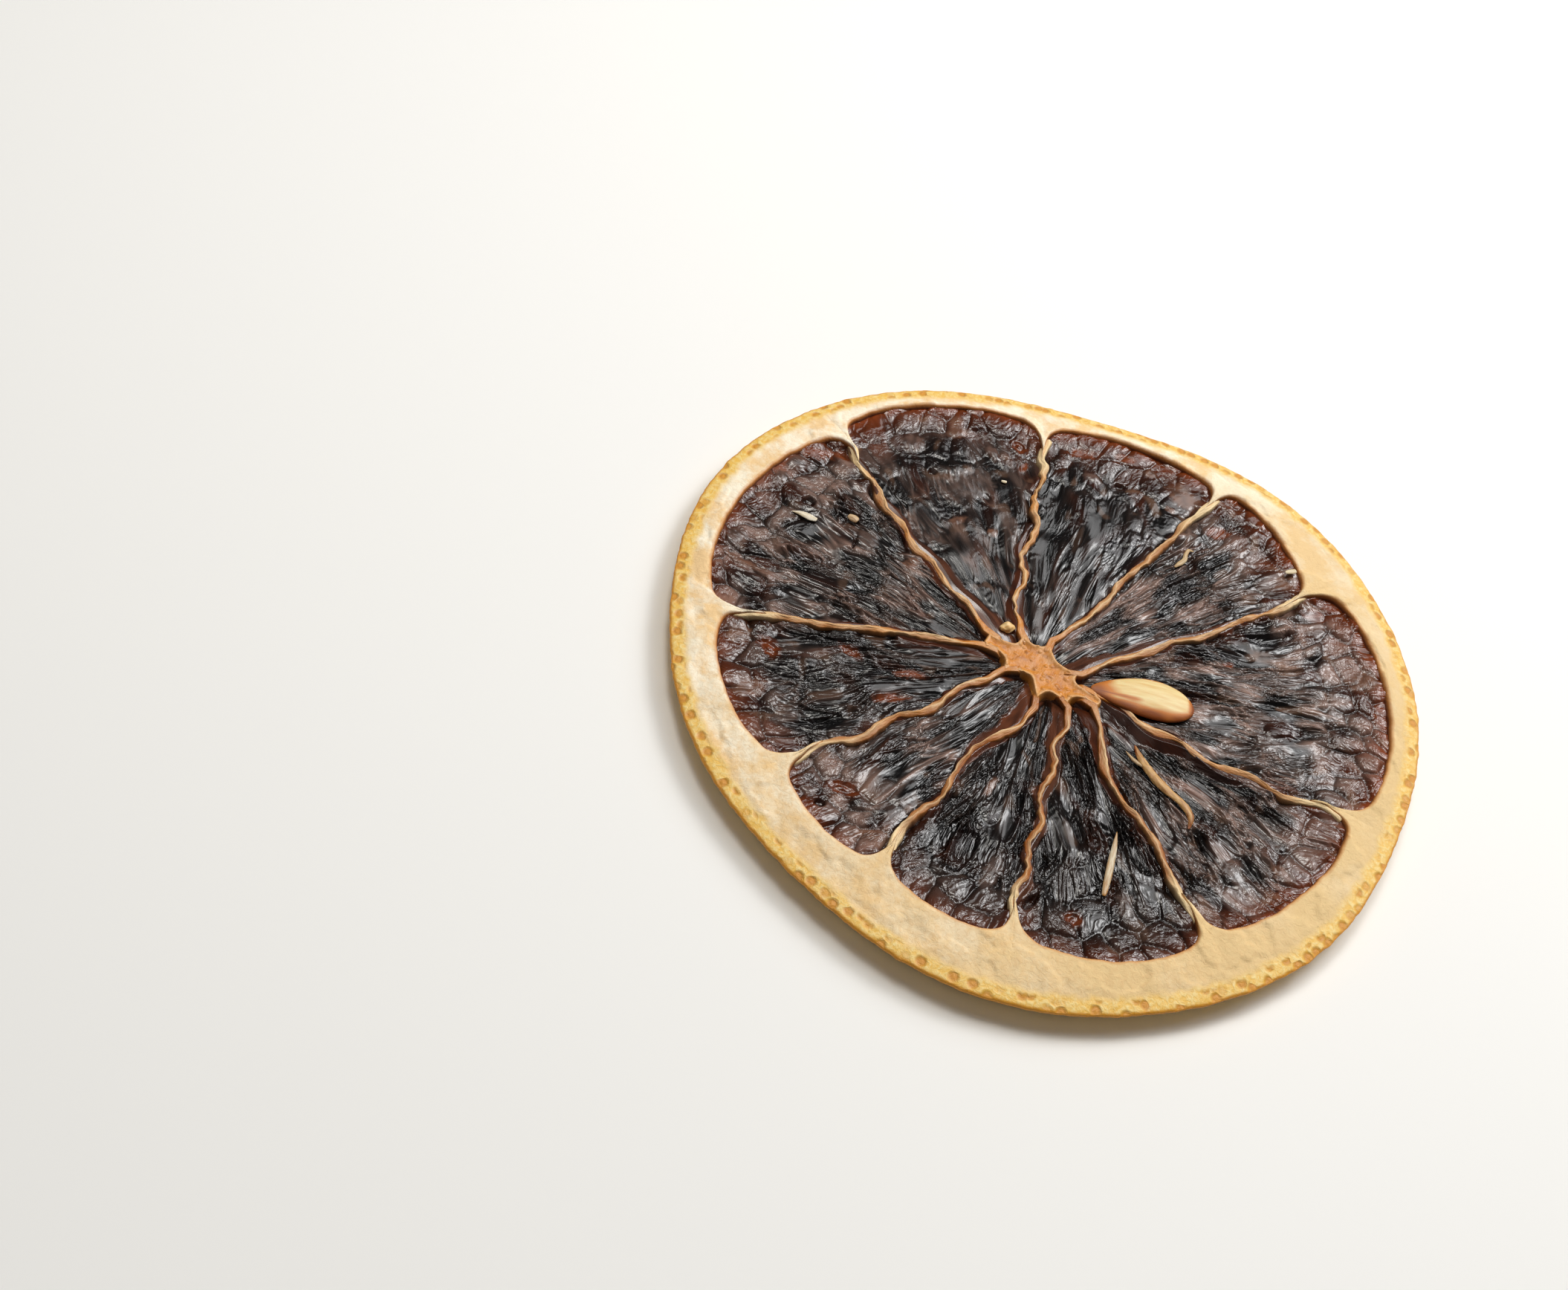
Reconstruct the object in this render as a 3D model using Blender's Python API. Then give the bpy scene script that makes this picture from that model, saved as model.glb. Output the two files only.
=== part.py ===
"""Dried lemon slice, lying flat: one closed solid of rind, ten sunken segments, their membranes and the core,
with a seed, and bits of chaff that stuck to the flesh while it dried.

Sizes below are in millimetres and angles in degrees, turned about the core, which sits a little off the
middle of the slice. The mesh itself is in metres, with +Z up and the flat underside of the rind at z = 0.
"""

import math
from collections import namedtuple

import bmesh
import bpy
import numpy as np
from mathutils import Vector
from mathutils.bvhtree import BVHTree

MM = 0.001
RANDOM_SEED = 7
NODE_NAME = "dried_lemon_slice"

# Outline of the slice, about its middle.
MEAN_RADIUS = 28.91
CORE_CENTRE = (-0.48, -0.90)
Lobe = namedtuple("Lobe", "waves swell towards")
OUTLINE_LOBES = (
    Lobe(1, 0.16, -120.0),
    Lobe(3, 0.79, 46.0),
    Lobe(4, 0.27, -36.0),
    Lobe(5, 0.13, -6.0),
    Lobe(7, 0.15, 20.0),
)
OUTLINE_PASSES = 8
EDGE_BUMP = 0.10

# Heights above the table. The rind slopes down from a lip round the flesh to its outer edge, and the
# flesh has dried to a thin sheet that hangs lower towards the core.
LIP_HEIGHT = 2.35
BROW_HEIGHT = 2.10
RIM_SWELL = 0.12
EDGE_HEIGHT = 1.72
PITH_SLOPE_POWER = 1.5
PITH_CREASE = 0.05
CREST_AT_ROOT = 1.62
CREST_AT_FOOT = 2.16
CREST_POWER = 1.5
CREST_UNDER = 0.30
CREST_UNDER_POWER = 8
CORE_TOP = 1.66
CORE_UNDER = 0.34
FLESH_AT_TIP = 1.12
FLESH_AT_END = 1.50
FLESH_POWER = 0.6
FLESH_UNDER = 0.62
CREVICE = 0.20
CREVICE_POWER = 12
CREVICE_UNDER = 0.06

# Lumpiness: height of the lumps on each surface.
FLESH_LUMP = 0.11
UNDERSIDE_LUMP = 0.077
CREST_LUMP = 0.044
CORE_LUMP = 0.055
MOST_LUMPY = 1.3

# Rind across its width, inwards from the outline.
FLAVEDO_WIDTH = 1.15
LIP_WIDTH = 0.28
UNDER_LIP_WIDTH = 0.5
SIDE_PROFILE = (
    # inset from the outline, share of the edge's height
    (0.38, 1.13),
    (0.05, 1.03),
    (0.02, 0.88),
    (0.42, 0.46),
    (1.10, 0.10),
    (1.45, 0.00),
)

# Membranes, anticlockwise. Each leaves the core at its root, bends over the settling length, and then
# drifts and sways out to its foot on the pith.
Membrane = namedtuple("Membrane", "root_r root_a settle foot_r foot_a drift sway sway_length sway_phase")
MEMBRANES = (
    Membrane(4.4, -178.5, 4.8, 22.4, -161.0, -2.6, 0.10, 8.5, -0.7),
    Membrane(2.8, -147.0, 3.1, 21.0, -127.0, 2.2, 0.29, 6.0, 0.5),
    Membrane(3.8, -77.0, 2.6, 21.0, -101.0, -0.2, 0.31, 8.7, 0.0),
    Membrane(3.9, -38.0, 2.6, 22.0, -77.0, 8.4, 0.24, 4.4, 0.3),
    Membrane(4.9, -15.0, 2.3, 21.6, -42.0, -1.9, 0.36, 10.9, 1.5),
    Membrane(4.4, -1.0, 6.0, 22.6, -4.5, -9.8, 0.29, 5.6, 0.2),
    Membrane(3.2, 21.0, 1.8, 24.4, 47.5, -7.0, 0.15, 6.4, -0.4),
    Membrane(3.1, 90.0, 1.0, 24.0, 73.5, 2.9, 0.12, 8.8, 0.7),
    Membrane(3.6, 132.0, 5.8, 22.6, 106.5, 2.1, 0.25, 5.4, 5.1),
    Membrane(5.0, 164.0, 1.3, 24.3, 147.5, 9.9, 0.18, 4.4, 1.2),
)
RIDGE_HALF_WIDTH = 0.42
RIDGE_SHARE = 0.22
SWAY_START = 2.0

# Segments, each between one membrane and the next: how near the core its tip comes, how far out it
# reaches beside its two membranes if its corners were square, and how much its end bulges between.
Segment = namedtuple("Segment", "tip_r first_reach last_reach bulge")
SEGMENTS = (
    Segment(2.7, 24.0, 22.9, 0.5),
    Segment(1.2, 22.4, 23.0, 0.5),
    Segment(2.3, 22.5, 23.8, 0.5),
    Segment(3.4, 23.6, 24.3, 0.8),
    Segment(5.2, 24.2, 24.9, 0.1),
    Segment(2.8, 25.4, 27.2, 0.6),
    Segment(1.7, 24.6, 27.2, 0.4),
    Segment(2.2, 26.6, 25.4, 0.2),
    Segment(2.8, 25.6, 27.0, 0.6),
    Segment(4.6, 26.2, 24.8, 0.6),
)
CORNER_DROP = 2.0
CORNER_POWER = 4.0

# Rings of the mesh, as shares of each zone, and the width of a column at the outer end of the flesh.
CORE_RINGS = (0.55, 1.0)
FLESH_RINGS = (0.04, 0.14, 0.26, 0.38, 0.50, 0.62, 0.74, 0.86, 0.95, 1.0)
PITH_RINGS = (0.0, 0.33, 0.67, 1.0)
FLESH_RINGS_UNDER = (1.0, 0.82, 0.60, 0.38, 0.18, 0.05)
CORE_RINGS_UNDER = (1.0, 0.5)
COLUMN_WIDTH = 1.45

# Seed, pointed at its core end, and chaff: both lie on the flesh, partly sunk.
SEED_POINT = (4.0, -0.50)
SEED_END = (11.0, 1.45)
SEED_WIDTH = 3.7
SEED_THICKNESS = 1.7
SEED_HEIGHT = 1.72
SEED_POINTEDNESS = 0.38
SEED_STATIONS = 9
SEED_SIDES = 10
Chaff = namedtuple("Chaff", "start end width thickness bow")
CHAFF = (
    Chaff((9.0, -12.1), (9.9, -17.7), 0.85, 0.42, 0.15),
    Chaff((7.8, -3.8), (13.6, -9.4), 0.50, 0.42, -1.15),
    Chaff((-22.6, 3.5), (-20.4, 3.2), 0.80, 0.40, 0.12),
    Chaff((-18.6, 5.4), (-17.4, 5.1), 0.85, 0.45, 0.0),
    Chaff((6.2, 17.0), (5.8, 14.6), 0.50, 0.38, 0.25),
    Chaff((-4.4, 1.5), (-3.2, 2.3), 0.95, 0.80, 0.0),
)
CHAFF_STATIONS = 6
CHAFF_SINK = 0.10
CHAFF_TIP_GIRTH = 0.55
CHAFF_BOWS = 1.2

# Colour (linear), roughness.
FINISHES = {
    "pith": ((0.80, 0.62, 0.37), 0.75),
    "flavedo": ((0.70, 0.40, 0.10), 0.55),
    "membrane": ((0.52, 0.27, 0.11), 0.55),
    "flesh": ((0.020, 0.011, 0.010), 0.25),
    "seed": ((0.80, 0.55, 0.24), 0.35),
    "chaff": ((0.76, 0.66, 0.47), 0.70),
}
PITH, FLAVEDO, MEMBRANE, FLESH, SEED, STRAW = range(len(FINISHES))
SHARP_EDGE = 50.0


def clear_scene():
    for obj in list(bpy.data.objects):
        bpy.data.objects.remove(obj, do_unlink=True)


def add_finishes(mesh):
    for name, (colour, roughness) in FINISHES.items():
        material = bpy.data.materials.new(name)
        material.use_nodes = True
        material.diffuse_color = (*colour, 1.0)
        shader = material.node_tree.nodes["Principled BSDF"]
        shader.inputs["Base Color"].default_value = (*colour, 1.0)
        shader.inputs["Roughness"].default_value = roughness
        shader.inputs["Metallic"].default_value = 0.0
        mesh.materials.append(material)


class Ripple:
    """Smooth unevenness: a few waves over the slice, each with a random direction and phase."""

    def __init__(self, rng, waves_round, waves_out, count):
        self.round = rng.integers(waves_round // 3, waves_round + 1, count)
        self.out = rng.uniform(-waves_out, waves_out, count)
        self.phase = rng.uniform(0.0, 2 * math.pi, count)

    def at(self, angle, radius):
        waves = np.multiply.outer(angle, self.round) + np.multiply.outer(radius, self.out) + self.phase
        height = np.sin(waves).sum(-1) / math.sqrt(len(self.phase))
        return np.clip(height, -MOST_LUMPY, MOST_LUMPY)


def outline_radius(angle):
    """Distance from the core to the slice's outline, along each angle about the core."""
    radius = np.full_like(angle, MEAN_RADIUS)
    for _ in range(OUTLINE_PASSES):
        x = CORE_CENTRE[0] + radius * np.cos(angle)
        y = CORE_CENTRE[1] + radius * np.sin(angle)
        around = np.arctan2(y, x)
        wanted = MEAN_RADIUS + sum(
            lobe.swell * np.cos(lobe.waves * (around - math.radians(lobe.towards)))
            for lobe in OUTLINE_LOBES
        )
        radius = radius + wanted - np.hypot(x, y)
    return radius


def membrane_angle(membrane, share):
    """Angle of a membrane's crest at a share of its way from root to foot."""
    out = share * (membrane.foot_r - membrane.root_r)
    turn = membrane.root_a - membrane.foot_a - membrane.drift
    bend = turn * np.exp(-out / membrane.settle) + membrane.drift * (1 - share)
    wave = np.sin(2 * math.pi * out / membrane.sway_length + membrane.sway_phase)
    sway = membrane.sway * np.minimum(1.0, out / SWAY_START) * wave / (out + membrane.root_r)
    return np.radians(membrane.foot_a + bend) + sway


def segment_sides(index):
    """The membranes on either side of a segment; the last segment closes the circle."""
    first = MEMBRANES[index]
    last = MEMBRANES[(index + 1) % len(MEMBRANES)]
    if index + 1 == len(MEMBRANES):
        last = last._replace(root_a=last.root_a + 360, foot_a=last.foot_a + 360)
    return first, last


def inner_radius(index, across):
    """Where a segment's flesh begins: at the membranes' roots beside them, at its tip between."""
    first, last = segment_sides(index)
    roots = first.root_r + (last.root_r - first.root_r) * across
    between = np.sin(math.pi * across)
    return roots + (SEGMENTS[index].tip_r - roots) * between


def outer_radius(index, across):
    """Where a segment's flesh ends: a slightly bulging end with rounded corners."""
    segment = SEGMENTS[index]
    end = segment.first_reach + (segment.last_reach - segment.first_reach) * across
    end = end + segment.bulge * 4 * across * (1 - across)
    corner = np.abs(2 * across - 1) ** CORNER_POWER
    return end - CORNER_DROP * (1 - (1 - corner) ** (1 / CORNER_POWER))


class Columns:
    """Lines from the core to the rim. Each segment gives its first membrane's crest, that membrane's foot,
    evenly spaced lines over the flesh, and the foot of its last membrane."""

    def __init__(self):
        self.segments = []
        for index in range(len(SEGMENTS)):
            first, last = segment_sides(index)
            span = math.radians(last.foot_a - first.foot_a)
            steps = max(4, round(span * SEGMENTS[index].first_reach / COLUMN_WIDTH))
            self.segments.append((index, first, last, steps))
        self.is_crest = self.joined(lambda index, first, last, steps: np.arange(-1, steps + 1) < 0)
        self.is_foot = self.joined(
            lambda index, first, last, steps: np.isin(np.arange(-1, steps + 1), (0, steps))
        )
        self.inner = self.joined(lambda *segment: inner_radius(segment[0], self.across(1.0, *segment)))
        self.outer = self.joined(lambda *segment: outer_radius(segment[0], self.across(1.0, *segment)))

    def __len__(self):
        return len(self.is_crest)

    def joined(self, rule):
        return np.concatenate([rule(*segment) for segment in self.segments])

    def across(self, share, index, first, last, steps):
        """Share of the way over a segment: a foot keeps the same distance from its crest on the way out."""
        radius = first.root_r + share * (first.foot_r - first.root_r)
        arc = radius * (membrane_angle(last, share) - membrane_angle(first, share))
        foot = min(RIDGE_HALF_WIDTH / arc, RIDGE_SHARE)
        step = np.arange(-1, steps + 1)
        return np.where(step < 0, 0.0, foot + (1 - 2 * foot) * step / steps)

    def angles(self, share):
        """Angle of every column at a share of its way over the flesh."""

        def between(index, first, last, steps):
            start = membrane_angle(first, share)
            span = membrane_angle(last, share) - start
            return start + span * self.across(share, index, first, last, steps)

        return self.joined(between)


def add_split_quad(bm, corners, kind):
    """Two triangles, split along the diagonal that leaves them facing the same way."""
    a, b, c, d = corners

    def agreement(first, second):
        normals = [(q.co - p.co).cross(r.co - p.co) for p, q, r in (first, second)]
        if min(normal.length for normal in normals) == 0:
            return -1.0
        return normals[0].normalized().dot(normals[1].normalized())

    splits = (((a, b, c), (a, c, d)), ((a, b, d), (b, c, d)))
    for triangle in max(splits, key=lambda split: round(agreement(*split), 3)):
        bm.faces.new(triangle).material_index = kind


class SliceMesh:
    """The rings of the slice, from the middle of its top over the rim to the middle of its underside."""

    def __init__(self):
        rng = np.random.default_rng(RANDOM_SEED)
        self.columns = Columns()
        self.lumps = Ripple(rng, 46, 1.6, 14)
        self.lumps_under = Ripple(rng, 40, 1.3, 14)
        self.waviness = Ripple(rng, 6, 0.05, 5)
        self.pith_creases = Ripple(rng, 24, 1.2, 8)
        self.edge_bumps = rng.uniform(-EDGE_BUMP, EDGE_BUMP, (len(SIDE_PROFILE), len(self.columns)))
        self.rings = []
        self.kinds = []

    def add_ring(self, angle, radius, height, kind):
        x = CORE_CENTRE[0] + radius * np.cos(angle)
        y = CORE_CENTRE[1] + radius * np.sin(angle)
        self.rings.append(np.stack([x, y, height(angle, radius)], 1))
        self.kinds.append(kind)

    def swell(self, angle):
        """Slow rise and fall of the rind round the slice."""
        return RIM_SWELL * self.waviness.at(angle, np.zeros_like(angle))

    def core_height(self, angle, radius):
        return CORE_TOP + CORE_LUMP * self.lumps.at(angle, radius)

    def core_height_under(self, angle, radius):
        return np.full_like(angle, CORE_UNDER)

    def side_height(self, level):
        return lambda angle, radius: level * (EDGE_HEIGHT + self.swell(angle))

    def dip(self, share):
        """How deep in a crevice the flesh is: fully along the membranes and against the rind."""
        return np.where(self.columns.is_foot, 1.0, share**CREVICE_POWER)

    def flesh_height(self, share):
        def height(angle, radius):
            lumps = self.lumps.at(angle, radius)
            flesh = FLESH_AT_TIP + (FLESH_AT_END - FLESH_AT_TIP) * share**FLESH_POWER
            flesh = flesh - CREVICE * self.dip(share) + FLESH_LUMP * lumps
            crest = CREST_AT_ROOT + (CREST_AT_FOOT - CREST_AT_ROOT) * share**CREST_POWER
            return np.where(self.columns.is_crest, crest + CREST_LUMP * lumps, flesh)

        return height

    def flesh_height_under(self, share):
        def height(angle, radius):
            lumps = UNDERSIDE_LUMP * self.lumps_under.at(angle, radius)
            flesh = FLESH_UNDER + CREVICE_UNDER * self.dip(share) + lumps
            return np.where(self.columns.is_crest, CREST_UNDER * (1 - share**CREST_UNDER_POWER), flesh)

        return height

    def pith_height(self, share):
        """From the lip down to where the yellow skin starts, with shallow creases along the rind."""

        def height(angle, radius):
            slope = LIP_HEIGHT + (BROW_HEIGHT - LIP_HEIGHT) * share**PITH_SLOPE_POWER
            creases = PITH_CREASE * self.pith_creases.at(angle, radius)
            return slope + self.swell(angle) * share + creases * math.sin(math.pi * share)

        return height

    def build_rings(self):
        columns = self.columns
        inner, outer = columns.inner, columns.outer
        roots = columns.angles(0.0)
        beyond = columns.angles(1.0)
        rim = outline_radius(beyond)
        for share in CORE_RINGS:
            self.add_ring(roots, inner * share, self.core_height, MEMBRANE)
        for share in FLESH_RINGS:
            radius = inner + (outer - inner) * share
            self.add_ring(columns.angles(share), radius, self.flesh_height(share), FLESH)
        for share in PITH_RINGS:
            start = outer + LIP_WIDTH
            radius = start + (rim - FLAVEDO_WIDTH - start) * share
            self.add_ring(beyond, radius, self.pith_height(share), PITH)
        for (inset, level), bumps in zip(SIDE_PROFILE, self.edge_bumps):
            radius = rim - inset - EDGE_BUMP + bumps * (level > 0)
            self.add_ring(beyond, radius, self.side_height(level), FLAVEDO)
        self.add_ring(beyond, outer + UNDER_LIP_WIDTH, self.side_height(0.0), PITH)
        for share in FLESH_RINGS_UNDER:
            radius = inner + (outer - inner) * share
            self.add_ring(columns.angles(share), radius, self.flesh_height_under(share), FLESH)
        for share in CORE_RINGS_UNDER:
            self.add_ring(roots, inner * share, self.core_height_under, MEMBRANE)

    def face_kind(self, ring, column):
        """Faces beside a crest are membrane wherever the flesh runs."""
        beside = self.columns.is_crest[column] or self.columns.is_crest[(column + 1) % len(self.columns)]
        kinds = (self.kinds[ring], self.kinds[ring + 1])
        if FLESH in kinds:
            if beside:
                return MEMBRANE
            return FLESH if kinds != (MEMBRANE, FLESH) else MEMBRANE
        if FLAVEDO in kinds and ring < len(self.rings) - len(FLESH_RINGS_UNDER) - len(CORE_RINGS_UNDER) - 2:
            return FLAVEDO
        return kinds[1]

    def to_bmesh(self):
        self.build_rings()
        count = len(self.columns)
        bm = bmesh.new()
        rows = [[bm.verts.new(Vector(point) * MM) for point in ring] for ring in self.rings]
        top = bm.verts.new(Vector((*CORE_CENTRE, CORE_TOP)) * MM)
        under = bm.verts.new(Vector((*CORE_CENTRE, CORE_UNDER)) * MM)
        for column in range(count):
            after = (column + 1) % count
            bm.faces.new((top, rows[0][column], rows[0][after])).material_index = MEMBRANE
            bm.faces.new((under, rows[-1][after], rows[-1][column])).material_index = MEMBRANE
            for ring in range(len(rows) - 1):
                corners = (rows[ring][column], rows[ring + 1][column], rows[ring + 1][after], rows[ring][after])
                add_split_quad(bm, corners, self.face_kind(ring, column))
        bmesh.ops.recalc_face_normals(bm, faces=bm.faces[:])
        return bm


def loft(bm, stations, kind):
    """Closed solid through stations of points, each station a ring, with a fan on each end."""
    rows = [[bm.verts.new(point * MM) for point in ring] for ring in stations]
    sides = len(rows[0])
    for first, second in zip(rows, rows[1:]):
        for side in range(sides):
            after = (side + 1) % sides
            bm.faces.new((first[side], first[after], second[after], second[side])).material_index = kind
    for ring in (rows[0], rows[-1]):
        bm.faces.new(ring).material_index = kind
    bmesh.ops.triangulate(bm, faces=bm.faces[:])
    bmesh.ops.recalc_face_normals(bm, faces=bm.faces[:])


def seed_stations():
    """Teardrop: blunt at the far end, drawn out to a point at the core, flatter than it is wide."""
    start = Vector((*SEED_POINT, SEED_HEIGHT))
    along = Vector((*SEED_END, SEED_HEIGHT)) - start
    across = Vector((-along.y, along.x, 0.0)).normalized()
    stations = []
    for number in range(SEED_STATIONS):
        turn = math.pi * (number + 0.5) / SEED_STATIONS
        share = (1 - math.cos(turn)) / 2
        girth = math.sin(turn) * (1 - SEED_POINTEDNESS * (1 - math.sin(0.5 * math.pi * share)))
        ring = []
        for side in range(SEED_SIDES):
            angle = 2 * math.pi * side / SEED_SIDES
            offset = across * (0.5 * SEED_WIDTH * girth * math.cos(angle))
            offset = offset + Vector((0, 0, 0.5 * SEED_THICKNESS * girth * math.sin(angle)))
            ring.append(start + along * share + offset)
        stations.append(ring)
    return stations


def chaff_stations(chaff, surface):
    """Sliver with a lens-shaped section, tapered to both ends, laid along the flesh under it."""
    start = Vector((*chaff.start, 0.0))
    along = Vector((*chaff.end, 0.0)) - start
    across = Vector((-along.y, along.x, 0.0)).normalized()
    stations = []
    for number in range(CHAFF_STATIONS):
        share = number / (CHAFF_STATIONS - 1)
        girth = CHAFF_TIP_GIRTH + (1 - CHAFF_TIP_GIRTH) * math.sin(math.pi * share)
        bow = chaff.bow * math.sin(2 * math.pi * CHAFF_BOWS * share)
        middle = start + along * share + across * bow
        hit = surface.ray_cast(Vector((middle.x, middle.y, 2 * LIP_HEIGHT)) * MM, Vector((0, 0, -1)))[0]
        middle.z = hit.z / MM + 0.5 * chaff.thickness - CHAFF_SINK
        side = across * (0.5 * chaff.width * girth)
        lift = Vector((0, 0, 0.5 * chaff.thickness))
        stations.append([middle - side, middle - lift, middle + side, middle + lift])
    return stations


def add_object(bm, name, collection):
    mesh = bpy.data.meshes.new(name)
    bm.to_mesh(mesh)
    bm.free()
    add_finishes(mesh)
    obj = bpy.data.objects.new(name, mesh)
    collection.objects.link(obj)
    return obj


def fuse(body, extras):
    """One Boolean union of the body with everything in the collection, applied."""
    union = body.modifiers.new("Fuse seed and chaff", "BOOLEAN")
    union.operation = "UNION"
    union.operand_type = "COLLECTION"
    union.collection = extras
    union.solver = "EXACT"
    bpy.context.view_layer.update()
    evaluated = body.evaluated_get(bpy.context.evaluated_depsgraph_get())
    fused = bpy.data.meshes.new_from_object(evaluated)
    body.modifiers.clear()
    body.data = fused
    for obj in list(extras.objects):
        bpy.data.objects.remove(obj, do_unlink=True)
    bpy.data.collections.remove(extras)


def stand_on_origin(mesh):
    """Moves the mesh so that the origin is under the middle of its outline."""
    points = np.empty(len(mesh.vertices) * 3, np.float32)
    mesh.vertices.foreach_get("co", points)
    points = points.reshape(-1, 3)
    middle = (points.min(0) + points.max(0)) / 2
    points[:, :2] -= middle[:2]
    mesh.vertices.foreach_set("co", points.ravel())
    mesh.update()


def build_slice():
    clear_scene()
    body_bm = SliceMesh().to_bmesh()
    surface = BVHTree.FromBMesh(body_bm)
    body = add_object(body_bm, NODE_NAME, bpy.context.scene.collection)
    extras = bpy.data.collections.new("seed and chaff")
    bpy.context.scene.collection.children.link(extras)
    seed_bm = bmesh.new()
    loft(seed_bm, seed_stations(), SEED)
    add_object(seed_bm, "seed", extras)
    for number, chaff in enumerate(CHAFF):
        chaff_bm = bmesh.new()
        loft(chaff_bm, chaff_stations(chaff, surface), STRAW)
        add_object(chaff_bm, f"chaff_{number}", extras)
    fuse(body, extras)
    stand_on_origin(body.data)
    body.data.shade_smooth()
    body.data.set_sharp_from_angle(angle=math.radians(SHARP_EDGE))


build_slice()
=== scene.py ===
import math

import bpy
import numpy as np
from mathutils import Matrix


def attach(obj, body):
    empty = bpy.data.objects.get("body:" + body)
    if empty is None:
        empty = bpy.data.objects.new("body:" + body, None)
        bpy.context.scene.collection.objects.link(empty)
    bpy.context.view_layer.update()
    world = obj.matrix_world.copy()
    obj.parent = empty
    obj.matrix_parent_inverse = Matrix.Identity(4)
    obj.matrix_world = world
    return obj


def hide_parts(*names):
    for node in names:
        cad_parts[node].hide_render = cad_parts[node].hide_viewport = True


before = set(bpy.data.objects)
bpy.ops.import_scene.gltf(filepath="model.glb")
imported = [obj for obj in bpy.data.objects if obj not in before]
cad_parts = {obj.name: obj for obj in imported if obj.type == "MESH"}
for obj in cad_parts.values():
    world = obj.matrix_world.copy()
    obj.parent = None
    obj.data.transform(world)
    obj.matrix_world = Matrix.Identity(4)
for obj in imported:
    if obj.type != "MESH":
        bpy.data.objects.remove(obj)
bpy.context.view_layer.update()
print("frame loaded")

# A dried lemon slice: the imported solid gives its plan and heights, and the pieces here stand for it with
# the strands, blisters, oil glands and creases that the solid leaves out. All sizes are in millimetres and
# all angles in degrees about the core, and the meshes are in metres.
millimetre = 0.001
sliceNode = "dried_lemon_slice"

plan = {
    "coreCentre": (-0.48, -0.90),  # from the middle of the outline's circle
    "recentre": (0.649, 0.674),  # the frame's origin is under the middle of the outline
    "meanRadius": 28.91,
    "lobes": ((1, 0.16, -120.0), (3, 0.79, 46.0), (4, 0.27, -36.0), (5, 0.13, -6.0), (7, 0.15, 20.0)),
    "cornerDrop": 2.0,  # how far the corners of a segment's outer end are rounded off
    "cornerPower": 4.0,
    "neighbourBlend": 0.5,  # over which the ends of two neighbours come to one point at their membrane
    "swayStart": 2.0,
    "tipPower": 0.45,
}

# Membranes, anticlockwise: radius and angle of the root, settling length, radius and angle of the foot,
# drift, sway, its wavelength and its phase.
membraneRows = (
    (4.4, -178.5, 4.8, 22.4, -161.0, -2.6, 0.10, 8.5, -0.7),
    (2.8, -147.0, 3.1, 21.0, -127.0, 2.2, 0.29, 6.0, 0.5),
    (3.8, -77.0, 2.6, 21.0, -101.0, -0.2, 0.31, 8.7, 0.0),
    (3.9, -38.0, 2.6, 22.0, -77.0, 8.4, 0.24, 4.4, 0.3),
    (4.9, -15.0, 2.3, 21.6, -42.0, -1.9, 0.36, 10.9, 1.5),
    (4.4, -1.0, 6.0, 22.6, -4.5, -9.8, 0.29, 5.6, 0.2),
    (3.2, 21.0, 1.8, 24.4, 47.5, -7.0, 0.15, 6.4, -0.4),
    (3.1, 90.0, 1.0, 24.0, 73.5, 2.9, 0.12, 8.8, 0.7),
    (3.6, 132.0, 5.8, 22.6, 106.5, 2.1, 0.25, 5.4, 5.1),
    (5.0, 164.0, 1.3, 24.3, 147.5, 9.9, 0.18, 4.4, 1.2),
)

# Looks of the same membranes: how brown, how wide, how strongly kinked.
membraneTraits = (
    (0.35, 1.0, 1.0), (0.7, 1.0, 1.0), (1.15, 0.8, 1.2), (1.2, 0.85, 2.0), (0.9, 1.0, 1.2),
    (0.4, 1.0, 1.0), (0.55, 1.0, 1.0), (0.5, 0.9, 1.0), (0.2, 0.85, 2.4), (0.25, 1.0, 1.0),
)

# Segments between them: radius of the tip, reach beside the first and the last membrane, bulge; then how
# much of the flesh is blistered, stranded and wrinkled crosswise; then how rusty it is and how grey with
# dust and painted sheen, near the core, halfway and at the outer end.
segmentRows = (
    ("j", (2.7, 24.0, 22.9, 0.5), (1.0, 0.8, 0.3), (0.9, 0.5, 0.7), (0.35, 0.10, 0.45)),
    ("i", (1.2, 22.4, 23.0, 0.5), (0.8, 0.8, 0.3), (0.3, 0.5, 0.7), (0.15, 1.40, 1.20)),
    ("h", (2.3, 22.5, 23.8, 0.5), (0.7, 1.0, 0.3), (0.8, 0.5, 0.5), (0.00, 0.15, 0.20)),
    ("g", (3.4, 23.6, 24.3, 0.8), (0.9, 1.1, 0.3), (1.2, 0.5, 0.5), (0.00, 0.05, 0.15)),
    ("f", (5.2, 24.2, 24.9, 0.1), (0.6, 1.0, 0.4), (1.3, 0.8, 0.9), (0.05, 1.30, 0.85)),
    ("e", (2.8, 25.4, 27.2, 0.6), (0.8, 0.8, 0.7), (0.9, 0.9, 1.2), (1.10, 1.60, 1.10)),
    ("d", (1.7, 24.6, 27.2, 0.4), (0.5, 0.9, 1.0), (0.2, 0.4, 1.2), (1.20, 1.45, 0.70)),
    ("c", (2.2, 26.6, 25.4, 0.2), (0.5, 0.12, 0.7), (0.6, 0.3, 1.2), (0.30, 0.05, 0.10)),
    ("b", (2.8, 25.6, 27.0, 0.6), (0.6, 0.18, 0.6), (0.9, 0.5, 1.1), (0.60, 0.50, 0.30)),
    ("a", (4.6, 26.2, 24.8, 0.6), (1.0, 0.9, 0.3), (0.8, 0.5, 0.6), (1.00, 1.35, 1.05)),
)


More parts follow.
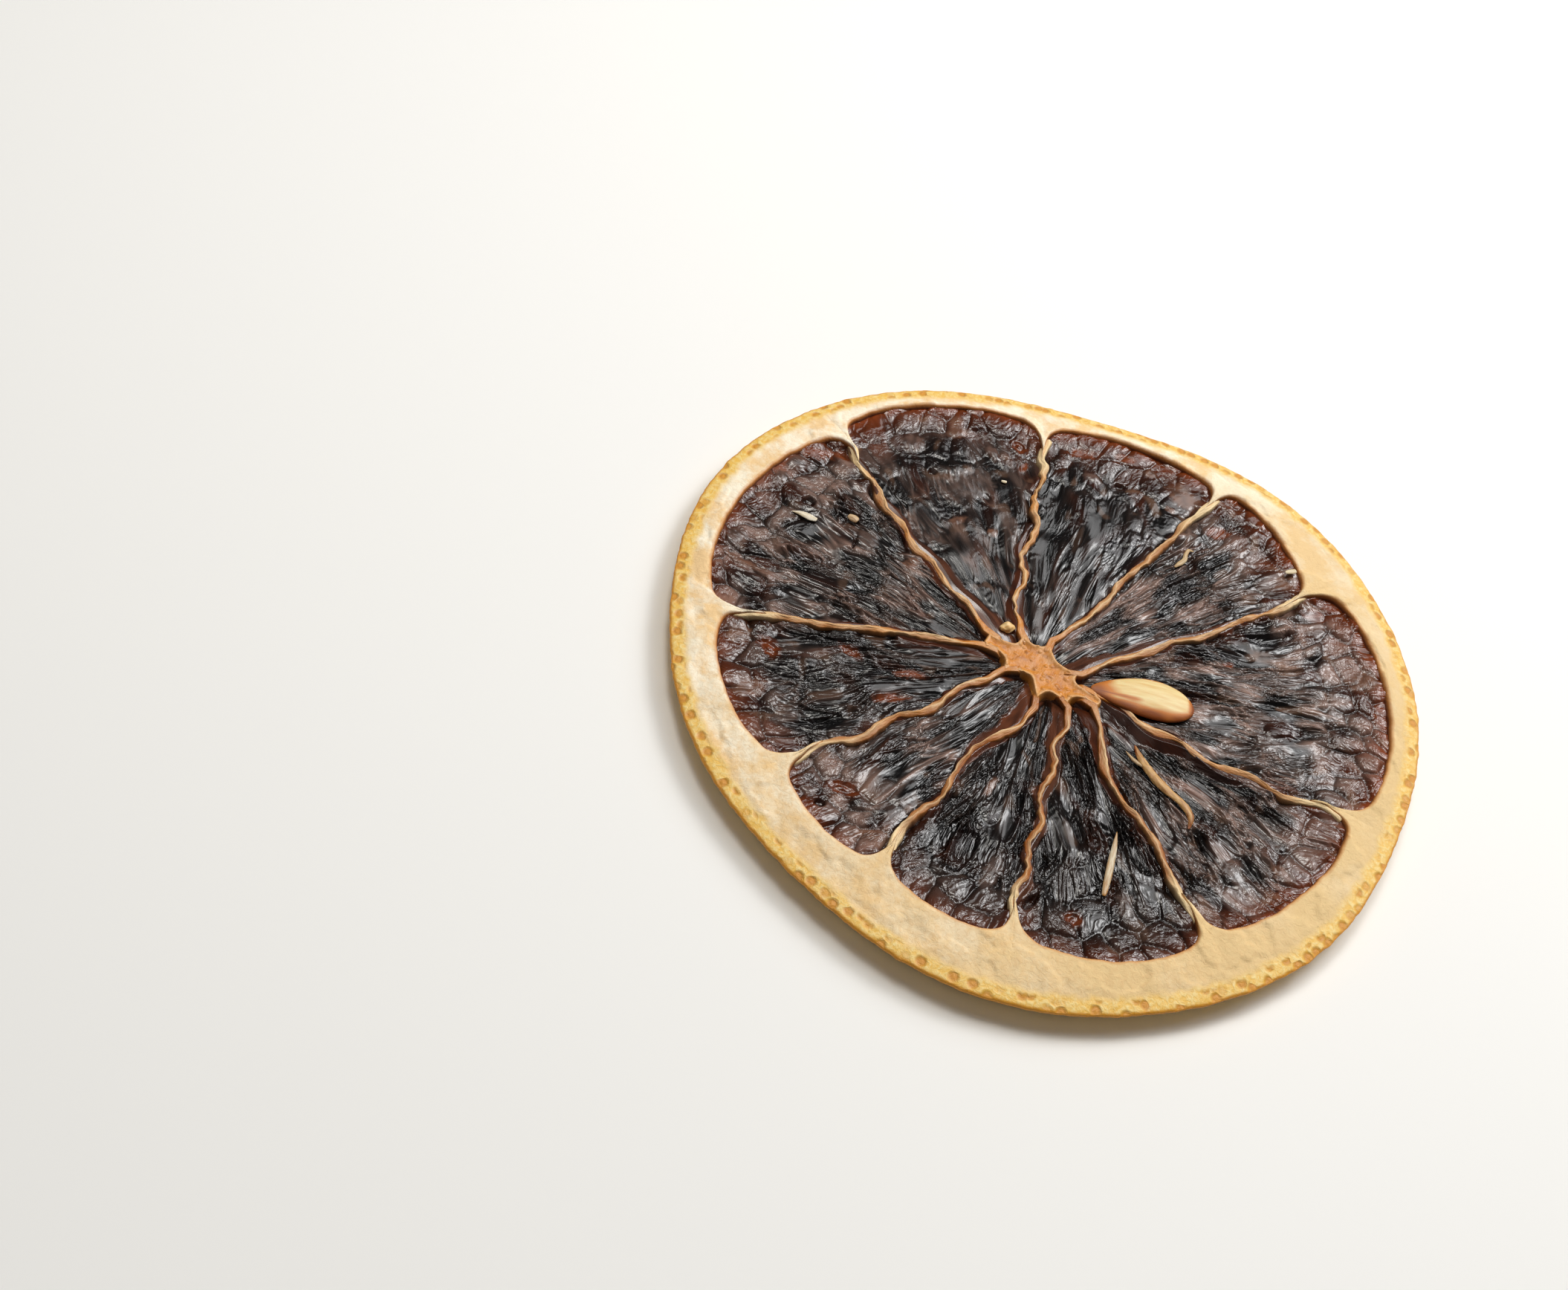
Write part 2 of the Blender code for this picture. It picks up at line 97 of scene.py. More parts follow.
# A smooth step: 0 below low, 1 above high, and 3v^2 - 2v^3 between.
def smoothStep(low, high, value):
    v = np.clip((value - low) / (high - low), 0.0, 1.0)
    return v * v * (3 - 2 * v)


# A random number from 0 to 1 for each whole-numbered place, the same on every run.
def hashed(column, row, seed):
    n = column.astype(np.int64) * 374761393 + row.astype(np.int64) * 668265263 + seed * 974634777
    n = ((n & 0xFFFFFFFF) ^ ((n & 0xFFFFFFFF) >> 13)) * 1274126177
    n = (n & 0xFFFFFFFF) ^ ((n & 0xFFFFFFFF) >> 16)
    return (n & 0xFFFFFF) / 0xFFFFFF


# Gradient noise: each lattice point has a slope in a random direction, and the four slopes round a point
# are blended with the quintic fade. Goes from about -1 to 1.
def softNoise(x, y, seed):
    column, row = np.floor(x), np.floor(y)
    total = 0.0
    for right in (0, 1):
        for up in (0, 1):
            turn = 2 * math.pi * hashed(column + right, row + up, seed)
            dx, dy = x - column - right, y - row - up
            fadeX = 1 - np.abs(dx) ** 3 * (6 * dx * dx - 15 * np.abs(dx) + 10)
            fadeY = 1 - np.abs(dy) ** 3 * (6 * dy * dy - 15 * np.abs(dy) + 10)
            total = total + fadeX * fadeY * (np.cos(turn) * dx + np.sin(turn) * dy)
    return 1.6 * total


# Ridges: 1 where the noise crosses zero, falling off to 0 on both sides.
def ridges(x, y, seed):
    return 1 - np.minimum(1.0, 2.0 * np.abs(softNoise(x, y, seed)))


# Crests: the same ridges squared to a sharp top, with finer ones riding on them at half the size.
def crests(x, y, seed):
    coarse = ridges(x, y, seed) ** 3
    fine = ridges(2.1 * x + 3.7, 1.4 * y + 1.9, seed + 1) ** 3
    return coarse + 0.5 * fine * (0.35 + 0.65 * coarse)


# The noises of a piece's table, by name: a strength times the noise, with two wavelengths and a seed.
def noisesOf(table, seed=0):
    def noise(name, x, y, more=0):
        strength, wide, long, own = table[name]
        return strength * softNoise(x / wide, y / long, seed + own + more)

    return noise


# Cells: one jittered point per lattice square; distance to the nearest, to the second nearest, and the
# nearest one's own random number.
def cells(x, y, seed):
    column, row = np.floor(x), np.floor(y)
    near = np.full(x.shape, 9.0)
    second = np.full(x.shape, 9.0)
    tag = np.zeros(x.shape)
    for right in (-1, 0, 1):
        for up in (-1, 0, 1):
            px = column + right + 0.1 + 0.8 * hashed(column + right, row + up, seed)
            py = row + up + 0.1 + 0.8 * hashed(column + right, row + up, seed + 1)
            away = np.hypot(px - x, py - y)
            closer = away < near
            second = np.where(closer, near, np.minimum(second, away))
            tag = np.where(closer, hashed(column + right, row + up, seed + 2), tag)
            near = np.where(closer, away, near)
    return near, second, tag


# Distance from the core to the outline: the mean radius plus one cosine per lobe, both about the middle
# of the outline, found along each ray from the core by repeated correction.
def outlineRadius(angle):
    radius = np.full_like(angle, plan["meanRadius"])
    for _ in range(8):
        x = plan["coreCentre"][0] + radius * np.cos(angle)
        y = plan["coreCentre"][1] + radius * np.sin(angle)
        around = np.arctan2(y, x)
        wanted = plan["meanRadius"]
        for waves, swell, towards in plan["lobes"]:
            wanted = wanted + swell * np.cos(waves * (around - math.radians(towards)))
        radius = radius + wanted - np.hypot(x, y)
    return radius


# Angle of a membrane at a share of its way: the foot's angle, plus a turn that decays over the settling
# length, plus a drift that runs out evenly, plus a sine for its sway.
def membraneAngle(row, share):
    rootR, rootA, settle, footR, footA, drift, sway, swayLength, swayPhase = row
    out = np.maximum(share, 0.0) * (footR - rootR)
    bend = (rootA - footA - drift) * np.exp(-out / settle) + drift * (1 - np.clip(share, 0, 1))
    wave = np.sin(2 * math.pi * out / swayLength + swayPhase) * np.minimum(1.0, out / plan["swayStart"])
    return np.radians(footA + bend) + sway * wave / (out + rootR)


# The two membranes beside a segment; after the last one the first comes again, a whole turn on.
def sidesOf(index):
    first = membraneRows[index]
    last = membraneRows[(index + 1) % len(membraneRows)]
    if index + 1 == len(membraneRows):
        last = last[:1] + (last[1] + 360,) + last[2:4] + (last[4] + 360,) + last[5:]
    return first, last


# Start of a segment's flesh: the straight blend of its membranes' roots, pulled to its tip by a half sine
# raised to a power below one, so that the core runs out into the membranes in thin, hollow-sided points.
def tipRadius(index, across):
    first, last = sidesOf(index)
    roots = first[0] + (last[0] - first[0]) * across
    pull = np.sin(math.pi * np.clip(across, 0, 1)) ** plan["tipPower"]
    return roots + (segmentRows[index][1][0] - roots) * pull


# End of a segment's flesh: the straight blend of its two reaches, plus a parabola for the bulge, less a
# superellipse for the rounded corners.
def plainEnd(index, across):
    _, firstReach, lastReach, bulge = segmentRows[index % len(segmentRows)][1]
    end = firstReach + (lastReach - firstReach) * across + bulge * 4 * across * (1 - across)
    corner = np.abs(2 * across - 1) ** plan["cornerPower"]
    return end - plan["cornerDrop"] * (1 - (1 - corner) ** (1 / plan["cornerPower"]))


# The same, with each corner moved to the middle between it and its neighbour's, fading over the blend.
def endRadius(index, across):
    first, last = sidesOf(index)
    arc = math.radians(last[4] - first[4]) * first[3]
    zero, one = np.zeros(1), np.ones(1)
    startGap = (plainEnd(index - 1, one) - plainEnd(index, zero)) / 2
    endGap = (plainEnd(index + 1, zero) - plainEnd(index, one)) / 2
    fade = plan["neighbourBlend"]
    return (
        plainEnd(index, across)
        + startGap * np.exp(-across * arc / fade)
        + endGap * np.exp(-(1 - across) * arc / fade)
    )


# Angle at a share across a segment and a distance from the core: between its two membranes there.
def angleBetween(index, across, radius):
    first, last = sidesOf(index)
    start = membraneAngle(first, np.clip((radius - first[0]) / (first[3] - first[0]), 0, 1))
    end = membraneAngle(last, np.clip((radius - last[0]) / (last[3] - last[0]), 0, 1))
    return start + (end - start) * across


# Turns angle and radius about the core, and a height, into points of the frame in metres.
def placed(angle, radius, height):
    x = plan["coreCentre"][0] + plan["recentre"][0] + radius * np.cos(angle)
    y = plan["coreCentre"][1] + plan["recentre"][1] + radius * np.sin(angle)
    return np.stack([x, y, height + 0 * x], -1) * millimetre


# One closed mesh from grids of points. Each grid's columns close round; its rows end in a flat cap, in a
# pole, or join into a ring. A sheet says how many of its columns lie on top, and the edges of its two sides
# are laced together there. Fields are one value or one vector per point and become attributes.
def meshFrom(name, grids, material):
    vertices, faces, fields = [], [], {}
    count = 0
    for points, ends, values in grids:
        rows, columns = points.shape[:2]
        index = np.arange(rows * columns).reshape(rows, columns) + count
        after = np.roll(index, -1, 1)
        if ends == "join":
            nextIndex, nextAfter = np.roll(index, -1, 0), np.roll(after, -1, 0)
        else:
            nextIndex, nextAfter, index, after = index[1:], after[1:], index[:-1], after[:-1]
        quads = np.stack([index, after, nextAfter, nextIndex], -1).reshape(-1, 4)
        block = points.reshape(-1, 3)
        blockFields = {key: value.reshape(rows * columns, -1) for key, value in values.items()}
        extra = []
        firstRow = np.arange(columns) + count
        lastRow = firstRow + (rows - 1) * columns
        if ends == "cap":
            extra = [firstRow[::-1].tolist(), lastRow.tolist()]
        if isinstance(ends, int):
            over, below = np.arange(ends), np.arange(columns - 1, ends - 1, -1)
            overMiddle = (over[1:] - 0.5) / (ends - 1)
            belowMiddle = (np.arange(len(below) - 1) + 1.5) / (len(below) + 1)
            down = np.stack([over[:-1], over[1:], below[np.searchsorted(belowMiddle, overMiddle)]], -1)
            up = np.stack([below[1:], below[:-1], over[np.searchsorted(overMiddle, belowMiddle)]], -1)
            lace = np.concatenate([down, up])
            extra = (lace[:, ::-1] + count).tolist() + (lace + lastRow[0]).tolist()
        if ends == "pole":
            poles = np.stack([points[0].mean(0), points[-1].mean(0)])
            block = np.concatenate([block, poles])
            blockFields = {
                key: np.concatenate([value, value[:columns].mean(0)[None], value[-columns:].mean(0)[None]])
                for key, value in blockFields.items()
            }
            top = np.full(columns, rows * columns + count)
            extra = np.stack([np.roll(firstRow, -1), firstRow, top], -1).tolist()
            extra += np.stack([lastRow, np.roll(lastRow, -1), top + 1], -1).tolist()
        corners = points.reshape(-1, 3)[quads - count]
        middle = points.reshape(-1, 3).mean(0)
        span = np.cross(corners[:, 2] - corners[:, 0], corners[:, 3] - corners[:, 1])
        if ((corners.mean(1) - middle) * span).sum() < 0:  # the volume comes out negative: turn it round
            quads = quads[:, ::-1]
            extra = [face[::-1] for face in extra]
        vertices.append(block)
        faces += quads.tolist() + extra
        for key, value in blockFields.items():
            fields.setdefault(key, []).append(value)
        count += len(block)
    mesh = bpy.data.meshes.new(name)
    mesh.from_pydata(np.concatenate(vertices), [], faces)
    for key, parts in fields.items():
        values = np.concatenate(parts)
        kind, slot = ("FLOAT_VECTOR", "vector") if values.shape[1] == 3 else ("FLOAT", "value")
        mesh.attributes.new(key, kind, "POINT").data.foreach_set(slot, values.astype(np.float32).ravel())
    mesh.shade_smooth()
    mesh.materials.append(material)
    piece = bpy.data.objects.new(name, mesh)
    bpy.context.scene.collection.objects.link(piece)
    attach(piece, "root")
    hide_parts(sliceNode)
    return piece


# sRGB hex to linear colour.
def fromHex(code):
    channels = [int(code[i : i + 2], 16) / 255 for i in (1, 3, 5)]
    linear = [c / 12.92 if c <= 0.04045 else ((c + 0.055) / 1.055) ** 2.4 for c in channels]
    return (*linear, 1.0)


# Gives a node its settings and links. A key that names or numbers an input sets it, any other is a property.
# A node given as a value is linked by its first output in use, and a hex colour is turned to linear.
def setNode(tree, node, settings):
    for key, value in settings.items():
        if hasattr(node, key):
            setattr(node, key, value)
            continue
        socket = node.inputs[int(key[2:]) if key[:2] == "in" and key[2:].isdigit() else key]
        if isinstance(value, bpy.types.Node):
            value = next(output for output in value.outputs if output.enabled)
        if isinstance(value, bpy.types.NodeSocket):
            tree.links.new(value, socket)
        else:
            socket.default_value = fromHex(value) if isinstance(value, str) else value


def addNode(tree, kind, **settings):
    node = tree.nodes.new("ShaderNode" + kind)
    setNode(tree, node, settings)
    return node


# A new material, and what it draws on: the fields of its piece and the noises of its table, which have a
# scale to the millimetre across and along, detail, roughness and distortion. They are laid out on the
# piece's flow, or on Object coordinates where it has none.
def newMaterial(name, looks, fields):
    material = bpy.data.materials.new(name)
    material.use_nodes = True
    tree = material.node_tree
    drawOn = {}
    for field in fields:
        reader = addNode(tree, "Attribute", attribute_name=field)
        drawOn[field] = reader.outputs["Vector" if field == "flow" else "Fac"]
    if "flow" in fields:
        drawOn["place"] = drawOn["flow"]
    else:
        coordinates = addNode(tree, "TexCoord").outputs["Object"]
        drawOn["place"] = addNode(tree, "Mapping", Vector=coordinates, Scale=(1 / millimetre,) * 3)
    for noise, (across, along, detail, roughness, distortion) in looks["noises"].items():
        space = addNode(tree, "Mapping", Vector=drawOn["place"], Scale=(across, along, along))
        drawOn[noise] = addNode(tree, "TexNoise", Vector=space, Scale=1.0, Detail=detail,
                                Roughness=roughness, Distortion=distortion)
    return material, tree, drawOn


# Colours laid over each other. A layer says what it follows, the value where it starts and where it is full,
# how strong it is then, and its colour.
def layered(tree, colour, layers, drawOn):
    for source, start, full, strength, over in layers:
        mask = addNode(tree, "MapRange", in0=drawOn[source], in1=start, in2=full, in3=0.0, in4=strength)
        colour = addNode(tree, "Mix", data_type="RGBA", in0=mask, in6=colour, in7=drawOn.get(over, over))
    return colour


# Dried lemon pulp: juice sacs collapsed to thin leather, nearly black, sugary and glossy, with their walls
# left standing as fine folds. Thin places let light through reddish brown; dusty places look grey, and a dry
# film on them tan. The grey is partly dust and partly a painted sheen on what stands up, and the hollows
# between the folds are painted darker still, as shade.
pulpLooks = {
    "noises": {
        "warp": (1.6, 0.24, 2.0, 0.5, 0.0), "threads": (4.0, 0.45, 3.0, 0.55, 0.4),
        "wrinkles": (1.6, 1.6, 2.4, 0.5, 0.8), "creases": (2.1, 0.75, 1.8, 0.45, 1.1),
    },
    "sacScale": (2.0, 0.30, 1.0), "sacWarp": (0.9, 0.9, 0.0), "sacWallWidth": 0.16,
    "sacBump": 0.04, "threadBump": 0.006, "wrinklesBump": 0.20, "creasesBump": 0.50,  # millimetres
    "dustAndSheenHeights": (-0.070, -0.012), "dustFilmInShadedFolds": 0.25,
    "roughness": (0.35, 0.65, 0.13, 0.22),  # where the threads start and end, and roughness there
    "refraction": 1.48,
    # the first colour is painted shade, nearly black, for hollows, gaps and pits; the plump layer lifts it to
    # the pulp's own colour, and the dust layer adds grey dust with a painted sheen on what stands up
    "grooveShade": "#020101",
    "layers": (
        ("plumpUnshaded", 0.05, 0.80, 1.0, "#110907"), ("dustAndSheenHere", 0.0, 1.0, 1.0, "#987C70"),
        ("rust", 0.0, 1.0, 1.0, "#7C3815"), ("filmHere", 0.0, 1.0, 1.0, "#8E6A54"),
    ),
}


def makePulpMaterial():
    looks = pulpLooks
    fields = ("flow", "plumpUnshaded", "rust", "dustAndSheen", "film", "blister", "strand")
    material, tree, drawOn = newMaterial("dried_lemon_pulp", looks, fields)
    # walls of the sacs: borders of cells that are drawn out along the strands
    sacSpace = addNode(tree, "Mapping", Vector=drawOn["flow"], Scale=looks["sacScale"])
    warped = addNode(tree, "VectorMath", operation="MULTIPLY_ADD", in0=drawOn["warp"].outputs["Color"],
                     in1=looks["sacWarp"], in2=sacSpace)
    sacs = addNode(tree, "TexVoronoi", voronoi_dimensions="2D", feature="DISTANCE_TO_EDGE", Vector=warped,
                   Scale=1.0)
    walls = addNode(tree, "MapRange", interpolation_type="SMOOTHSTEP", in0=sacs, in1=0.0,
                    in2=looks["sacWallWidth"], in3=1.0, in4=0.0)
    wallsHere = addNode(tree, "Math", operation="MULTIPLY", in0=walls, in1=drawOn["strand"])
    wallLift = addNode(tree, "Math", operation="MULTIPLY", in0=wallsHere, in1=looks["sacBump"])
    relief = addNode(tree, "Math", operation="MULTIPLY_ADD", in0=drawOn["threads"],
                     in1=looks["threadBump"], in2=wallLift)
    # folds: sharp lines where a noise crosses its middle value
    for noise, where in (("wrinkles", "blister"), ("creases", "strand")):
        fromMiddle = addNode(tree, "Math", operation="SUBTRACT", in0=drawOn[noise], in1=0.5)
        offLine = addNode(tree, "Math", operation="ABSOLUTE", in0=fromMiddle)
        lift = addNode(tree, "Math", operation="MULTIPLY", in0=offLine, in1=-looks[noise + "Bump"])
        relief = addNode(tree, "Math", operation="MULTIPLY_ADD", in0=lift, in1=drawOn[where], in2=relief)
    # dust and film lie on what stands up of this relief and fade in its folds: painted sheen on the raised
    # folds and painted shade in the hollows
    low, high = looks["dustAndSheenHeights"]
    standingAndLit = addNode(tree, "MapRange", in0=relief, in1=low, in2=high, in3=looks["dustFilmInShadedFolds"], in4=1.0)
    for field in ("dustAndSheen", "film"):
        drawOn[field + "Here"] = addNode(tree, "Math", operation="MULTIPLY", in0=drawOn[field], in1=standingAndLit)
    low, high, glossy, dull = looks["roughness"]
    setNode(tree, tree.nodes["Principled BSDF"], {
        "Base Color": layered(tree, looks["grooveShade"], looks["layers"], drawOn),
        "Roughness": addNode(tree, "MapRange", in0=drawOn["threads"], in1=low, in2=high,
                             in3=glossy, in4=dull),
        "Normal": addNode(tree, "Bump", Height=relief, Strength=1.0, Distance=millimetre),
        "IOR": looks["refraction"],
    })
    return material


# Dried peel: white pith gone cream and matt like card, and outside it a yellow skin, faintly waxy, with its
# oil glands cut open, each a small amber window with a darker rim. The wall inside, round the flesh, is
# stained orange brown, and painted darker brown lower down, as shade. The pith is also painted tan
# towards one side, as shade.
peelLooks = {
    "noises": {
        "mottle": (1 / 3.0, 1 / 3.0, 6.0, 0.65, 0.0), "fibre": (1 / 0.35, 1 / 0.35, 5.0, 0.65, 0.6),
        "specks": (1 / 0.32, 1 / 0.32, 3.0, 0.7, 1.2),
    },
    "grains": (0.42, 0.70), "grainsFar": 0.25, "grainsNear": 0.60,
    "skin": "#EFBE54", "skinPale": "#F8E09A", "pith": "#FFF4DC",
    "layers": (
        # the second layer paints the pith tan towards one side, as shade, over its own uneven tone
        ("mottle", 0.44, 0.60, 1.0, "#F3CE98"), ("toneAndSideShade", 0.0, 1.0, 1.0, "#E8C890"),
        ("grainsHere", 0.0, 1.0, 1.0, "#E2B980"), ("specks", 0.68, 0.76, 0.55, "#9A6A3C"),
        ("skin", 0.0, 1.0, 1.0, "skinColour"), ("gland", 0.0, 1.0, 1.0, "#DE9A34"),
        ("ring", 0.0, 1.0, 0.40, "#B26E22"), ("edge", 0.0, 1.0, 1.0, "#DB9428"),
        # the inner wall: stained orange brown, then painted darker brown lower down, as shade in the recess
        # by the flesh
        ("wall", 0.05, 0.40, 1.0, "#C9823E"), ("wall", 0.35, 0.85, 1.0, "#70381A"),
    ),
    # real glands are about 1 mm apart; a disc with a window in it: where it is full, where it ends, strength
    "glandScale": 1 / 1.02, "glandSpread": 0.75, "glandUneven": 0.16, "glandChosen": (0.24, 0.50),
    "glandDisc": (0.18, 0.50, 1.0), "glandWindow": (0.02, 0.36, 0.8),
    "glandSink": 0.10, "glandDome": 0.03, "fibreBump": 0.08,  # millimetres
    "pithRoughness": 0.72, "skinRoughness": 0.42, "refraction": 1.46,
}


def makePeelMaterial():
    looks = peelLooks
    fields = ("skin", "edge", "band", "wall", "near", "toneAndSideShade")
    material, tree, drawOn = newMaterial("dried_lemon_peel", looks, fields)
    start, full = looks["grains"]
    grains = addNode(tree, "MapRange", in0=drawOn["fibre"], in1=start, in2=full)
    strength = addNode(tree, "Math", operation="MULTIPLY_ADD", in0=drawOn["near"],
                       in1=looks["grainsNear"] - looks["grainsFar"], in2=looks["grainsFar"])
    drawOn["grainsHere"] = addNode(tree, "Math", operation="MULTIPLY", in0=grains, in1=strength)
    drawOn["skinColour"] = addNode(tree, "Mix", data_type="RGBA", in0=grains, in6=looks["skin"],
                                   in7=looks["skinPale"])
    # oil glands: at most one to a cell, where the cell's own random colour chooses it
    uneven = addNode(tree, "VectorMath", operation="MULTIPLY_ADD", in0=drawOn["fibre"].outputs["Color"],
                     in1=(looks["glandUneven"],) * 3, in2=drawOn["place"])
    glandCells = addNode(tree, "TexVoronoi", voronoi_dimensions="2D", Vector=uneven,
                         Scale=looks["glandScale"], Randomness=looks["glandSpread"])
    start, full = looks["glandChosen"]
    chosen = addNode(tree, "MapRange", in0=glandCells.outputs["Color"], in1=start, in2=full)
    inBand = addNode(tree, "Math", operation="MULTIPLY", in0=chosen, in1=drawOn["band"])
    rounds = (("gland", looks["glandDisc"]), ("window", looks["glandWindow"]))
    for part, (inside, outside, strength) in rounds:
        disc = addNode(tree, "MapRange", interpolation_type="SMOOTHSTEP", in0=glandCells.outputs["Distance"],
                       in1=inside, in2=outside, in3=strength, in4=0.0)
        drawOn[part] = addNode(tree, "Math", operation="MULTIPLY", in0=disc, in1=inBand)
    drawOn["ring"] = addNode(tree, "Math", operation="SUBTRACT", in0=drawOn["gland"], in1=drawOn["window"])
    relief = addNode(tree, "Math", operation="MULTIPLY", in0=drawOn["fibre"], in1=looks["fibreBump"])
    for part, lift in (("gland", -looks["glandSink"]), ("window", looks["glandDome"])):
        relief = addNode(tree, "Math", operation="MULTIPLY_ADD", in0=drawOn[part], in1=lift, in2=relief)
    setNode(tree, tree.nodes["Principled BSDF"], {
        "Base Color": layered(tree, looks["pith"], looks["layers"], drawOn),
        "Roughness": addNode(tree, "MapRange", in0=drawOn["skin"], in1=0.0, in2=1.0,
                             in3=looks["pithRoughness"], in4=looks["skinRoughness"]),
        "Normal": addNode(tree, "Bump", Height=relief, Strength=1.0, Distance=millimetre),
        "IOR": looks["refraction"],
    })
    return material


# Dried membrane and core: pith skin as thin as paper, stiff and tan, browner where juice dried on it, wet and
# horn-like orange where it is thickest. Where it goes down between the segments it is painted nearly black
# brown, as shade, and the side of a membrane away from its crest is painted browner, as shade; a pale line
# along the crest is a painted highlight.
membraneLooks = {
    "noises": {"grain": (3.6, 1.5, 4.0, 0.6, 0.5), "streaks": (1.6, 0.7, 5.0, 0.7, 0.8)},
    "crest": "#DAAE7C",
    # the last layer paints the faces dark brown where the wall falls away, as shade
    "layers": (
        ("orange", 0.0, 1.0, 1.0, "#D98C32"), ("brown", 0.0, 1.0, 1.0, "#96561F"),
        ("streaks", 0.48, 0.70, 0.60, "#B2641E"), ("cream", 0.0, 1.0, 1.0, "#F0D4A2"),
        ("rise", 0.90, 0.25, 1.0, "#35180E"),
    ),
    "dryRoughness": 0.52, "wetRoughness": 0.32, "refraction": 1.48,
    "bumpStrength": 0.9, "bumpHeight": 0.09,
}


def makeMembraneMaterial():
    looks = membraneLooks
    fields = ("flow", "rise", "cream", "orange", "brown", "wet")
    material, tree, drawOn = newMaterial("dried_lemon_membrane", looks, fields)
    setNode(tree, tree.nodes["Principled BSDF"], {
        "Base Color": layered(tree, looks["crest"], looks["layers"], drawOn),
        "Roughness": addNode(tree, "MapRange", in0=drawOn["wet"], in1=0.0, in2=1.0,
                             in3=looks["dryRoughness"], in4=looks["wetRoughness"]),
        "Normal": addNode(tree, "Bump", Height=drawOn["grain"], Strength=looks["bumpStrength"],
                          Distance=looks["bumpHeight"] * millimetre),
        "IOR": looks["refraction"],
    })
    return material


# Lemon seed: a smooth woody hull, cream and half glossy, lets a little light into it, and is still in its
# brown sheath on the low side and at the tip.
seedLooks = {
    "start": (3.5, -0.62), "end": (11.1, 1.40), "width": 4.1, "thickness": 1.30, "height": 1.66,
    "bow": 0.18, "pointedness": 0.50, "stations": 110, "sides": 72,
    "reliefs": {"dents": (0.03, 0.9, 1.4, 61), "sheathEdge": (0.14, 0.8, 1.3, 62)},
    # how brown the sheath is on the near and far side, below, at the tip, at the blunt end, in its fold
    "sheath": (0.72, 0.45, 0.85, 0.62, 0.80, 0.66),
    "noises": {"grain": (2.6, 0.35, 4.0, 0.55, 0.0)},
    "hull": "#EBD49A",
    "layers": (
        ("grain", 0.40, 0.66, 1.0, "#DFBA78"), ("sheath", 0.12, 0.42, 1.0, "#C8782A"),
        ("sheath", 0.45, 0.72, 1.0, "#8E4814"), ("sheath", 0.86, 1.0, 1.0, "#4A2412"),
    ),
    "roughness": 0.50, "refraction": 1.5, "bumpStrength": 0.6, "bumpHeight": 0.04,
    "glow": 0.15, "glowColours": (1.0, 0.5, 0.25), "glowDepth": 0.8,
}


def makeSeedMaterial():
    looks = seedLooks
    material, tree, drawOn = newMaterial("lemon_seed_hull", looks, ("flow", "sheath"))
    setNode(tree, tree.nodes["Principled BSDF"], {
        "Base Color": layered(tree, looks["hull"], looks["layers"], drawOn),
        "Normal": addNode(tree, "Bump", Height=drawOn["grain"], Strength=looks["bumpStrength"],
                          Distance=looks["bumpHeight"] * millimetre),
        "Roughness": looks["roughness"], "IOR": looks["refraction"],
        "Subsurface Weight": looks["glow"], "Subsurface Radius": looks["glowColours"],
        "Subsurface Scale": looks["glowDepth"] * millimetre,
    })
    return material


# Straw: husk and membrane shreds, bleached and matt, in fine lines along the shred, brown towards its ends.
strawLooks = {
    "noises": {"grain": (6.0, 0.8, 3.0, 0.5, 0.0)},
    "browning": (0.46, 0.80), "roughness": 0.5, "bumpStrength": 0.6, "bumpHeight": 0.03,
}


def makeStrawMaterial(name, pale, brown):
    looks = strawLooks
    material, tree, drawOn = newMaterial(name, looks, ("flow", "brown"))
    drawOn["both"] = addNode(tree, "Math", operation="ADD", in0=drawOn["grain"], in1=drawOn["brown"])
    setNode(tree, tree.nodes["Principled BSDF"], {
        "Base Color": layered(tree, pale, (("both", *looks["browning"], 1.0, brown),), drawOn),
        "Normal": addNode(tree, "Bump", Height=drawOn["grain"], Strength=looks["bumpStrength"],
                          Distance=looks["bumpHeight"] * millimetre),
        "Roughness": looks["roughness"],
    })
    return material


